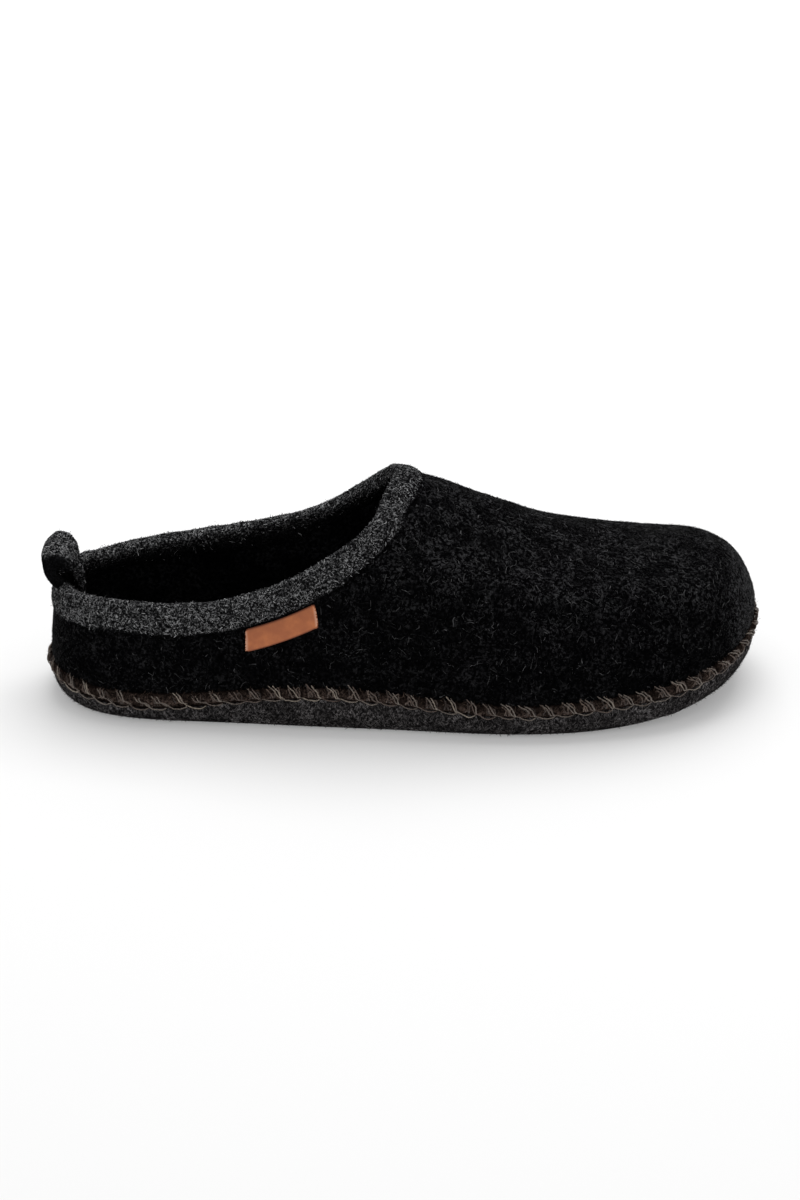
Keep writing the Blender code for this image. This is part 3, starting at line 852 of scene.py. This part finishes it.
# One stitch, in the seam's own directions: along it, towards the toe on the outer side, and up the upper.
# The yarn comes out of the upper at a prong's tip, runs down to the seam and along it to the next stitch.
STITCH_PITCH = 0.0076
STITCH = {
    "long prong": (
        (-0.0074, 0.0051), (-0.0050, 0.0031), (-0.0026, 0.0012), (-0.0003, -0.0002),
        (0.0019, -0.0011), (0.0038, -0.0014), (0.0057, -0.0009), (0.0077, 0.0005),
    ),
    "short prong": (
        (-0.0051, 0.0045), (-0.0032, 0.0027), (-0.0012, 0.0010), (0.0008, -0.0003),
    ),
}
STITCH_LOOPS = {
    "loop": ((-0.0040, 0.0004), (-0.0037, 0.0022), (-0.0028, 0.0031), (-0.0020, 0.0022), (-0.0017, 0.0006)),
    "low loop": ((0.0012, 0.0006), (0.0020, 0.0019), (0.0032, 0.0021), (0.0040, 0.0008)),
    "stray": ((0.0032, 0.0004), (0.0022, 0.0022), (0.0010, 0.0042)),
}


def poly_line(name, lines, closed):
    """Curve object of straight runs through lists of points."""
    curve = bpy.data.curves.new(name, "CURVE")
    curve.dimensions = "3D"
    for points in lines:
        spline = curve.splines.new("POLY")
        spline.points.add(len(points) - 1)
        spline.use_cyclic_u = closed
        for point, place in zip(spline.points, points):
            point.co = (*place, 1.0)
    return placed(name, curve)


STITCH_LEAN = (-0.10, 0.10)
STITCH_RUN = (0.9, 1.1)
STITCH_REACH = (0.8, 1.2)
YARN_GIRTH = (0.8, 1.2)
YARN_POINTS = 16
YARN_SIDES = 6
STRAY_PITCH = 350.0
YARN_ARCH = 1.5
YARN_SUNK = 0.7


def stitch_tree():
    """Geometry nodes that lay one stitch after another along a seam, on the bed that it is sewn through."""
    tree, given = new_tree("seam_stitches", {
        "Geometry": ("Seam",),
        "Object": ("Stitch", "Bed"),
        "Int": ("Count", "Seed"),
        "Float": ("Radius", "Stray", "Proud"),
        "Material": ("Finish",),
    }, "Stitches")
    sockets = {0: given, "Count": given["Count"]}
    spots = given.node("GeometryNodeCurveToPoints", sockets, mode="COUNT")
    axes = {"Primary Axis": spots["Tangent"], "Secondary Axis": UP}
    rotation = given.node("FunctionNodeAxesToRotation", axes, primary_axis="X", secondary_axis="Y")
    rotation = rotation.turned(z=given.drawn(*STITCH_LEAN, 1))
    size = given.joined(given.drawn(*STITCH_RUN, 2), given.drawn(*STITCH_REACH, 3), 1.0)
    shape = given.node("GeometryNodeObjectInfo", {"Object": given["Stitch"]}, "Geometry")
    yarn = spots.planted(shape, rotation, size)
    yarn = given.node("GeometryNodeCurveSplineType", {0: yarn}, spline_type="CATMULL_ROM")
    yarn = given.node("GeometryNodeResampleCurve", {"Curve": yarn, "Count": YARN_POINTS})
    yarn = yarn.stored("tone", given.drawn(0.0, 1.0, 4), domain="CURVE")
    yarn = yarn.stored("along", given.node("GeometryNodeSplineParameter"))

    yarn = yarn.moved(Offset=given.swayed(STRAY_PITCH, given["Stray"] * 2))
    bed = given.node("GeometryNodeObjectInfo", {"Object": given["Bed"]}, "Geometry")
    seat = given.node("GeometryNodeProximity", {0: bed}, "Position", target_element="FACES")
    sockets = {"Mesh": bed, "Value": given.node("GeometryNodeInputNormal")}
    out = given.node("GeometryNodeSampleNearestSurface", sockets, "Value", data_type="FLOAT_VECTOR")
    arch = given.maths("SINE", given.read("along") * math.pi) ** 0.5
    lift = (arch * YARN_ARCH - YARN_SUNK) * given["Proud"]
    yarn = yarn.moved(Position=seat.vector("ADD", out.scaled(lift)))
    sockets = {"Curve": yarn, "Radius": given.drawn(*YARN_GIRTH, 5)}
    yarn = given.node("GeometryNodeSetCurveRadius", sockets)
    ring = {"Resolution": YARN_SIDES, "Radius": given["Radius"]}
    ring = given.node("GeometryNodeCurvePrimitiveCircle", ring)
    sockets = {"Curve": yarn, "Profile Curve": ring, "Fill Caps": True, "Scale": given.read("radius")}
    yarn = given.node("GeometryNodeCurveToMesh", sockets)
    tone = given.read("tone") * (1 - 2 * MAP_MARGIN) + MAP_MARGIN
    given.node("NodeGroupOutput", {"Stitches": yarn.dressed(tone, given["Finish"])})
    return tree


HAIR_PITCH = 2600.0
HAIR_EDGES = (0.3, 0.7)
HAIR_DARK = 0.45
HAIR_LIGHT = 0.9


def yarn_finish(name, stops):
    """Thick soft yarn, each stitch of one tone, with fine hairs across it."""
    material, wire = new_finish(name, {"Roughness": 0.85, "Specular IOR Level": 0.2, "Sheen Weight": 0.2})
    tone = wire.node("ShaderNodeUVMap", uv_map="OFBake").split().ramp(stops)
    hair = wire.node("ShaderNodeTexCoord", out="Object").noise(HAIR_PITCH, Detail=2.0)
    shade = HAIR_DARK + hair.between(*HAIR_EDGES) * HAIR_LIGHT
    bump = wire.node("ShaderNodeBump", {"Height": hair, "Distance": 0.0003, "Strength": 0.9})
    wire.paint({"Base Color": tone.scaled(shade), "Normal": bump})
    return material


YARN = (
    (0.0, (0.095, 0.064, 0.052)),
    (0.35, (0.140, 0.114, 0.097)),
    (0.75, (0.195, 0.166, 0.142)),
    (1.0, (0.310, 0.262, 0.212)),
)
LOOP_YARN = (
    (0.0, (0.020, 0.013, 0.010)),
    (0.6, (0.065, 0.044, 0.035)),
    (1.0, (0.150, 0.110, 0.088)),
)
SEAM_YARNS = (
    ("seam_stitches", STITCH, 0.00023, 0.0006, 0.0008, 21, yarn_finish("seam_yarn", YARN)),
    ("seam_loops", STITCH_LOOPS, 0.00024, 0.0014, 0.0003, 22, yarn_finish("loop_yarn", LOOP_YARN)),
)
BED_RISE = 0.012
bed_wall = above_seam(AROUND, np.linspace(WELT_ABOVE, BED_RISE, WELT_STEPS))
bed_welt = np.concatenate((welt_foot[:, None], welt_outside, welt_inside[:, -1:]), axis=1)
stitch_bed = felt_mesh("stitch_bed", [
    strip(side, columns_close=True),
    strip(bed_welt, rows_close=True),
    strip(bed_wall, rows_close=True),
])
seam_line = seam_ring(AROUND, 0.0, seam_height - seam_dip)
seam_girth = np.linalg.norm(np.roll(seam_line, -1, axis=0) - seam_line, axis=1).sum()
seam_path = poly_line("seam_path", [seam_line + HEEL], closed=True)
SEAM_STITCHES = stitch_tree()
for name, threads, radius, stray, proud, seed, finish in SEAM_YARNS:
    lines = [[(x, y, 0.0) for x, y in points] for points in threads.values()]
    guide = poly_line("stitch", lines, closed=False)
    yarn = grown(name, seam_path, SEAM_STITCHES, {
        "Stitch": guide, "Bed": stitch_bed, "Count": round(seam_girth / STITCH_PITCH), "Seed": seed,
        "Radius": radius, "Stray": stray, "Proud": proud, "Finish": finish,
    })
    bpy.data.objects.remove(guide)
    settle(yarn)
for guide in (seam_path, stitch_bed):
    bpy.data.objects.remove(guide)

# Collar band
# A strip of grey heather felt, folded over the collar's edge and felted on, with a longer leg outside.
# Its surface is a dense salt-and-pepper of short fibres, brushed up along the fold.
BAND_THICKNESS = 0.0015
BAND_OUTSIDE = 0.011
BAND_FRONT = 0.0098
BAND_NARROWS = (0.34 * LENGTH, 0.46 * LENGTH)
BAND_INSIDE = 0.009
BAND_UP_PROBE = 0.001
BAND_LEG_STEPS = 10
BAND_FOLD_STEPS = 12
BAND_EDGE = 0.6
BAND_FADE = 0.14
BAND_RAGGED = 0.0008
BAND_RAGS = 0.003
FRONT_TINT = 0.82
FOLD_SHADE_TINT = 0.5
LINING_SHADE_TINT = 0.08
LOOP_WIDTH = 0.020
LOOP_SHADE = 0.95
LOOP_SHADE_ENDS = (-0.015, 0.009)
LOOP_SHADE_SOFT = 0.005
BAND_DRAWN = 0.003
BAND_DRAWN_AT = -0.0195
BAND_DRAWN_RUN = 0.005


def collar_frame(places, distances):
    """Points below the collar's edge, their outward directions, and the upward direction at the edge."""
    points = below_collar(places, distances)
    normals = -surface_normals(below_collar, places, distances)
    edge = below_collar(places, (0.0, BAND_UP_PROBE))
    return points, normals, unit(edge[:, 0] - edge[:, 1])


heel_ends = below_collar(np.array([-SLOPE_NUDGE, SLOPE_NUDGE]), (0.0,))[:, 0]
girth_at_heel = np.linalg.norm(heel_ends[1] - heel_ends[0]) / (2 * SLOPE_NUDGE)
band_share = np.sin(math.pi / 2 * np.linspace(0, 1, BAND_LEG_STEPS + 1))
band_past = np.clip((band_share - 1 + BAND_EDGE) / BAND_EDGE, 0, 1)
band_cover = (GAP + BAND_THICKNESS * (1 - band_past**2))[:, None]
band_foot = below_collar(AROUND, (BAND_OUTSIDE,))[:, 0]
band_rags = wander(band_foot, BAND_RAGS)
at_front = smooth_step(last_ribs(AROUND)["collar_x"], *BAND_NARROWS)
leg_lengths = blend(BAND_OUTSIDE, BAND_FRONT, at_front) + BAND_RAGGED * band_rags
leg, leg_normals, band_up = collar_frame(AROUND, leg_lengths[:, None] * band_share)
lining, lining_normals, band_up = collar_frame(AROUND, BAND_INSIDE * band_share)
edge = leg[:, 0]
edge_out = leg_normals[:, 0]
edge_middle = edge - edge_out * UPPER_WALL / 2
clear = GAP + BAND_THICKNESS
heel_run = (np.mod(AROUND + 0.5, 1.0) - 0.5) * girth_at_heel
drawn_up = BAND_DRAWN * bell(heel_run, BAND_DRAWN_AT, BAND_DRAWN_RUN)[:, None]
fold = []
fold_turn = np.arange(1, BAND_FOLD_STEPS) / BAND_FOLD_STEPS
for angle in math.pi * fold_turn:
    out = edge_out * (UPPER_WALL / 2 + clear) * math.cos(angle)
    up = band_up * (clear + drawn_up) * math.sin(angle)
    fold.append(edge_middle + (out + up))
under_fold = edge + band_up * GAP
band_sections = np.concatenate((
    (leg + band_cover * leg_normals)[:, ::-1],
    np.stack(fold, axis=1),
    lining - (UPPER_WALL + band_cover) * lining_normals,
    (lining - (UPPER_WALL + GAP) * lining_normals)[:, -2:0:-1],
    np.stack((under_fold - edge_out * (UPPER_WALL + GAP), under_fold + edge_out * GAP), axis=1),
    (leg + GAP * leg_normals)[:, 1:-1],
), axis=1)
band_shown = 2 * (BAND_LEG_STEPS + 1) + BAND_FOLD_STEPS - 1
band_nap = np.where(np.arange(band_sections.shape[1]) < band_shown, 1.0, 0.0)
# The outer leg's light wool fades out at its lower edge, where the band is felted into the upper. Painted
# shade darkens the inner half of the fold and the lining, inside the collar, and the faces against the upper
# show no light wool.
band_tint = np.concatenate((
    smooth_step((1 - band_share) / BAND_FADE)[::-1],
    blend(1, FOLD_SHADE_TINT, smooth_step(2 * fold_turn - 1)),
    blend(FOLD_SHADE_TINT, LINING_SHADE_TINT, smooth_step(2 * band_share)),
    np.zeros(band_sections.shape[1] - band_shown),
))
# Painted shade: under the pull loop the band is darkened from the crest of its fold inwards and down its
# lining, reaching further on the far side.
under_loop = smooth_step((heel_run - LOOP_SHADE_ENDS[0]) / LOOP_SHADE_SOFT)
under_loop *= smooth_step((LOOP_SHADE_ENDS[1] - heel_run) / LOOP_SHADE_SOFT)
in_shade = np.concatenate((
    np.zeros(BAND_LEG_STEPS + 1),
    smooth_step(2 * fold_turn),
    np.ones(band_sections.shape[1] - BAND_LEG_STEPS - BAND_FOLD_STEPS),
))
band_tint = band_tint * (1 - LOOP_SHADE * under_loop[:, None] * in_shade)
band_tint *= blend(1, FRONT_TINT, at_front[:, None])
BAND_WAVES = ((0.009, 0.0003), (0.003, 0.0002))
collar_band = felt_mesh("collar_band", [strip(band_sections, True, True, band_nap, band_tint)], BAND_WAVES)
grey_felt = felt_finish(
    "grey_felt", dark=(0.005, 0.005, 0.0055), light=(0.260, 0.262, 0.268),
    curl=0.0013, relief=0.0004, bare=0.51, even=0.5,
)
settle(collar_band, "collar_band", grey_felt)

GREY_WOOL = (
    (0.0, (0.002, 0.002, 0.0022)),
    (0.58, (0.003, 0.003, 0.0033)),
    (0.78, (0.055, 0.056, 0.058)),
    (1.0, (0.580, 0.584, 0.592)),
)
grey_wool = fibre_finish("grey_wool", GREY_WOOL)
add_nap(
    "collar_nap", collar_band, grey_wool, seed=31, density=2.5e6,
    length=0.0010, width=0.00030, lift=0.16, curl=0.0010, curl_size=0.0013,
)
add_nap(
    "collar_fuzz", collar_band, grey_wool, seed=32, density=2.5e5,
    length=0.0016, width=0.00018, lift=0.32, curl=0.0010, curl_size=0.0013,
)

# Pull loop
# A strip of the band's grey felt, sewn on the band at the back of the heel and turned over to its inside.
# It stands up as a soft loop for a finger and leans back, its near rim rolled in. Painted shade darkens its
# inside and the lower part of its outer side, where its opening lies in shade.
LOOP_THICKNESS = 0.0016
LOOP_TOP = 0.0625
LOOP_RADIUS = 0.0056
LOOP_OFFSET = 0.0009
LOOP_FOOT = 0.0018
LOOP_LEG = 0.005
LOOP_LEAN = 0.0017
LOOP_DROOP = 0.0030
LOOP_RISE_STEPS = 10
LOOP_ARC_STEPS = 24
LOOP_LEG_STEPS = 10
LOOP_COLUMNS = 28
LOOP_ROUND = 0.12
LOOP_TINT = 1.05
LOOP_SHADED_TINT = 0.02
LOOP_SHADED_LEG_TINT = 0.55
LOOP_SHADE_LINE = 0.0556
LOOP_SHADE_LINE_FALL = 0.0087
LOOP_SHADE_LINE_SLOPE = 0.49
LOOP_SHADE_LINE_SOFT = 0.0014
LOOP_FLARE = 0.003
LOOP_HEM = 0.003
LOOP_ROLL = 2
LOOP_ROLL_FROM = 0.6
LOOP_SEWN = 0.004
LOOP_TUCK = 0.4
LOOP_HUG = 0.0045

loop_across = np.sin(math.pi / 2 * np.linspace(-1, 1, LOOP_COLUMNS + 1))
loop_places = loop_across * LOOP_WIDTH / 2 / girth_at_heel
loop_edge, loop_normals, _ = collar_frame(loop_places, (0.0, BAND_UP_PROBE))
loop_out = unit(loop_normals[:, 0] * (1, 1, 0))
loop_middle = loop_edge[:, 0] - loop_out * UPPER_WALL / 2
loop_centre = LOOP_TOP - LOOP_THICKNESS / 2 - LOOP_RADIUS
loop_rise = np.arange(LOOP_RISE_STEPS) / LOOP_RISE_STEPS
loop_turn = math.pi * np.arange(LOOP_ARC_STEPS + 1) / LOOP_ARC_STEPS
loop_fall = np.arange(1, LOOP_LEG_STEPS + 1) / LOOP_LEG_STEPS
loop_sewn = blend(LOOP_TUCK, 1, smooth_step(-2 * loop_across))
loop_droop = LOOP_DROOP * smooth_step(loop_across)
loop_inward = np.concatenate((
    np.zeros(LOOP_RISE_STEPS),
    np.clip(2 * loop_turn / math.pi - 1, 0, 1),
    np.ones(LOOP_LEG_STEPS),
))
loop_past = np.clip((np.abs(loop_across) - 1 + LOOP_ROUND) / LOOP_ROUND, 0, 1)
loop_half = LOOP_THICKNESS / 2 * np.sqrt(1 - loop_past**2)
loop_rolled = LOOP_ROLL * smooth_step(2 * loop_across - LOOP_ROLL_FROM)
loop_hemmed = np.concatenate((np.ones(LOOP_RISE_STEPS + LOOP_ARC_STEPS + 1), 1 - loop_fall))
loop_sections = []
loop_tints = []
for column, point in enumerate(loop_middle):
    foot = point[2] + GAP + BAND_THICKNESS - LOOP_SEWN * loop_sewn[column]
    foot_away = blend(LOOP_FOOT, LOOP_HUG, loop_sewn[column])
    centre = loop_centre - loop_droop[column]
    tip = point[2] - LOOP_LEG
    loop_away = np.concatenate((
        blend(foot_away, LOOP_OFFSET + LOOP_RADIUS, np.sin(math.pi / 2 * loop_rise)),
        LOOP_OFFSET + LOOP_RADIUS * np.cos(loop_turn),
        np.full(LOOP_LEG_STEPS, LOOP_OFFSET - LOOP_RADIUS),
    ))
    loop_height = np.concatenate((
        blend(foot, centre, loop_rise),
        centre + LOOP_RADIUS * np.sin(loop_turn),
        blend(centre, tip, loop_fall),
    ))
    lean = LOOP_LEAN * np.clip((loop_height - foot) / (LOOP_TOP - foot), 0, 1)
    flare = loop_inward * smooth_step(loop_across[column])
    line = np.stack((loop_away + lean - LOOP_FLARE * flare, loop_height), axis=-1)
    along = unit(np.gradient(line, axis=0))
    face = np.stack((along[:, 1], -along[:, 0]), axis=-1)
    hem = (1 + LOOP_HEM / LOOP_THICKNESS * loop_rolled[column] * loop_hemmed)[:, None]
    outer = line + loop_half[column] * face
    inner = line - loop_half[column] * hem * face
    outline = np.concatenate((outer, inner[::-1]))
    ring = point + outline[:, :1] * loop_out[column]
    ring[:, 2] = outline[:, 1]
    loop_sections.append(ring)
    # Painted shade: the outer face is darkened below a line that rises towards the near end and drops on the
    # part past the top, and the inner face is darkened, less so down the near side's inner leg.
    level = loop_height - LOOP_SHADE_LINE_SLOPE * LOOP_WIDTH / 2 * loop_across[column]
    shown = smooth_step((level - LOOP_SHADE_LINE + LOOP_SHADE_LINE_FALL * loop_inward) / LOOP_SHADE_LINE_SOFT + 0.5)
    shown = blend(LOOP_SHADED_TINT, LOOP_TINT, shown)
    inner_shade = blend(LOOP_SHADED_TINT, LOOP_SHADED_LEG_TINT, flare)
    loop_tints.append(np.concatenate((shown, inner_shade[::-1])))
LOOP_WAVES = ((0.006, 0.0003), (0.003, 0.0002))
loop_strip = strip(np.stack(loop_sections), False, True, 1.0, np.stack(loop_tints))
pull_loop = felt_mesh("pull_loop", [loop_strip], LOOP_WAVES)
settle(pull_loop, "pull_loop", grey_felt)

add_nap(
    "pull_loop_nap", pull_loop, grey_wool, seed=41, density=2.0e6,
    length=0.0010, width=0.00030, lift=0.12, curl=0.0016, curl_size=0.0013,
)

# Side tag
# A tab of smooth cognac leather on the outer side, its top edge caught under the collar band.
# The leather is cut with round corners. Its long edges are burnished dark, and a painted highlight lightens
# its cut ends; painted shade darkens it towards its top edge, under the band.
TAG_SIDE = (0.02, 0.4)
TAG_START = 0.079
TAG_LENGTH = 0.0275
TAG_HEIGHT = 0.009
TAG_THICKNESS = 0.0012
TAG_CORNER = 0.0012
TAG_BEVEL = 0.0004
TAG_BURN = 0.0008
TAG_SHADED = 0.0025
TAG_SHADE = 0.35
TAG_HIGHLIGHT = 0.0014
TAG_SKEW = 0.001
TAG_COLUMNS = 60
TAG_ROWS = 22

tag_search = np.linspace(*TAG_SIDE, WALK_STEPS + 1)
tag_along = below_collar(tag_search, (BAND_OUTSIDE + TAG_HEIGHT / 2,))[:, 0, 0]
tag_ends = np.interp((TAG_START, TAG_START + TAG_LENGTH), tag_along, tag_search)
tag_places = np.linspace(*tag_ends, TAG_COLUMNS + 1)
tag_down = BAND_OUTSIDE + GAP + TAG_HEIGHT * np.linspace(0, 1, TAG_ROWS + 1)
tag_points, tag_normals, _ = collar_frame(tag_places, tag_down)
tag_u = np.linspace(-TAG_LENGTH / 2, TAG_LENGTH / 2, TAG_COLUMNS + 1)[:, None] + np.zeros(TAG_ROWS + 1)
tag_v = np.linspace(-TAG_HEIGHT / 2, TAG_HEIGHT / 2, TAG_ROWS + 1) + np.zeros((TAG_COLUMNS + 1, 1))
past_u = tag_u - np.clip(tag_u, TAG_CORNER - TAG_LENGTH / 2, TAG_LENGTH / 2 - TAG_CORNER)
past_v = tag_v - np.clip(tag_v, TAG_CORNER - TAG_HEIGHT / 2, TAG_HEIGHT / 2 - TAG_CORNER)
round_off = np.maximum(np.abs(past_u), np.abs(past_v)) / np.maximum(np.hypot(past_u, past_v), MERGE) - 1
round_off[(past_u == 0) & (past_v == 0)] = 0
tag_points += (past_u * round_off)[..., None] * unit(np.gradient(tag_points, axis=0))
tag_points += (past_v * round_off)[..., None] * unit(np.gradient(tag_points, axis=1))
tag_points -= TAG_SKEW * (tag_v / TAG_HEIGHT + 0.5)[..., None] * unit(np.gradient(tag_points, axis=0))
tag_rim = np.minimum(TAG_LENGTH / 2 - np.abs(tag_u), TAG_HEIGHT / 2 - np.abs(tag_v))
tag_bevel = TAG_BEVEL * (1 - np.sqrt(1 - np.clip(1 - tag_rim / TAG_BEVEL, 0, 1) ** 2))
# Painted shade: the tag darkens towards its top edge, under the collar band.
tag_shade = 1 - TAG_SHADE * np.exp(-(tag_v + TAG_HEIGHT / 2) / TAG_SHADED)
# Painted highlight: the face lightens along the cut ends.
tag_highlight = 1 + smooth_step(1 - (TAG_LENGTH / 2 - np.abs(tag_u)) / TAG_HIGHLIGHT)
tag_tint = smooth_step((TAG_HEIGHT / 2 - np.abs(tag_v)) / TAG_BURN) * tag_shade * tag_highlight
tag_outer = tag_points + (GAP + TAG_THICKNESS - tag_bevel)[..., None] * tag_normals
tag_inner = tag_points + GAP * tag_normals
tag_strips = [strip(tag_outer, tint=tag_tint), strip(tag_inner, tint=0.0)]
for end in (0, -1):
    tag_strips.append(strip(np.stack((tag_outer[end], tag_inner[end])), tint=0.0))
    tag_strips.append(strip(np.stack((tag_outer[:, end], tag_inner[:, end])), tint=0.0))
side_tag = felt_mesh("side_tag", tag_strips)


CLOUD_PITCH = 220.0
GRAIN_PITCH = 1800.0
WORN_EDGES = (0.35, 0.75)
LEATHER_ROUGH = 0.45
LEATHER_DULL = 0.25


def leather_finish(name, face, worn, burnt, highlight):
    """Smooth tanned leather: fine grain, lighter wear, burnt edges and painted shade as the tint falls to 0,
    and a painted highlight where it is above 1.
    """
    material, wire = new_finish(name, {"Specular IOR Level": 0.4})
    place = wire.node("ShaderNodeTexCoord", out="Object")
    cloud = place.noise(CLOUD_PITCH, Detail=4.0)
    grain = wire.node("ShaderNodeTexVoronoi", {"Vector": place, "Scale": GRAIN_PITCH})
    colour = wire.mix(cloud.between(*WORN_EDGES), (*face, 1), (*worn, 1))
    edge = wire.node("ShaderNodeAttribute", out="Fac", attribute_name="tint")
    colour = wire.mix(edge, (*burnt, 1), colour)
    colour = wire.mix(edge - 1, colour, (*highlight, 1))
    bump = wire.node("ShaderNodeBump", {"Height": grain, "Distance": 0.0001, "Strength": 0.5})
    wire.paint({"Base Color": colour, "Roughness": LEATHER_ROUGH + cloud * LEATHER_DULL, "Normal": bump})
    return material


settle(side_tag, "side_tag", leather_finish(
    "tan_leather", face=(0.360, 0.105, 0.036), worn=(0.480, 0.152, 0.050),
    burnt=(0.100, 0.022, 0.007), highlight=(0.640, 0.370, 0.260),
))

# Studio
# A pale light table under a broad soft lamp and an even white surround, seen from the height of a person.
FLOOR_SIDE = 8.0
FLOOR_DROP = 0.0001
half = FLOOR_SIDE / 2
floor_mesh = bpy.data.meshes.new("floor")
floor_plan = ((-half, -half), (half, -half), (half, half), (-half, half))
floor_mesh.from_pydata([(x, y, -FLOOR_DROP) for x, y in floor_plan], [], [(0, 1, 2, 3)])
floor = placed("floor", floor_mesh)
WHITE = (1, 1, 1, 1)
FLOOR_WHITE = (0.655, 0.655, 0.655, 1)
FLOOR_GLOW = 0.22
floor_paint, _ = new_finish("floor_paint", {
    "Base Color": FLOOR_WHITE, "Roughness": 0.9, "Specular IOR Level": 0.0,
    "Emission Color": WHITE, "Emission Strength": FLOOR_GLOW,
})
floor_mesh.materials.append(floor_paint)

SURROUND = 0.72
surround = bpy.data.worlds.new("surround")
surround.use_nodes = True
background = surround.node_tree.nodes["Background"]
Wire(surround.node_tree).feed(background, {"Color": WHITE, "Strength": SURROUND})
bpy.context.scene.world = surround

LAMP_SIDE = 1.4
LAMP_PLACE = (0.2, 0.72, 1.55)
LAMP_POWER = 22.0
lamp_data = bpy.data.lights.new("softbox", "AREA")
lamp_data.shape = "SQUARE"
lamp_data.size = LAMP_SIDE
lamp_data.energy = LAMP_POWER
lamp = placed("softbox", lamp_data)
lamp.location = LAMP_PLACE
lamp.rotation_euler = (-Vector(LAMP_PLACE)).to_track_quat("-Z", "Y").to_euler()
bpy.context.scene.view_settings.view_transform = "Standard"

ELEVATION = math.radians(26)
AIM = Vector((0.0, 0.0, 0.035))
DISTANCE = 1.6
FRAME_SIDE = 36.0
LENS = 121.73
STEP_LEFT = 0.00095
STEP_UP = 0.0012
camera_data = bpy.data.cameras.new("camera")
camera_data.sensor_fit = "VERTICAL"
camera_data.sensor_height = FRAME_SIDE
camera_data.lens = LENS
camera = placed("camera", camera_data)
back = Vector((0.0, -math.cos(ELEVATION), math.sin(ELEVATION)))
camera_up = Vector((0.0, math.sin(ELEVATION), math.cos(ELEVATION)))
camera.location = AIM + back * DISTANCE + camera_up * STEP_UP + Vector((-STEP_LEFT, 0.0, 0.0))
camera.rotation_euler = (math.pi / 2 - ELEVATION, 0.0, 0.0)
bpy.context.scene.camera = camera
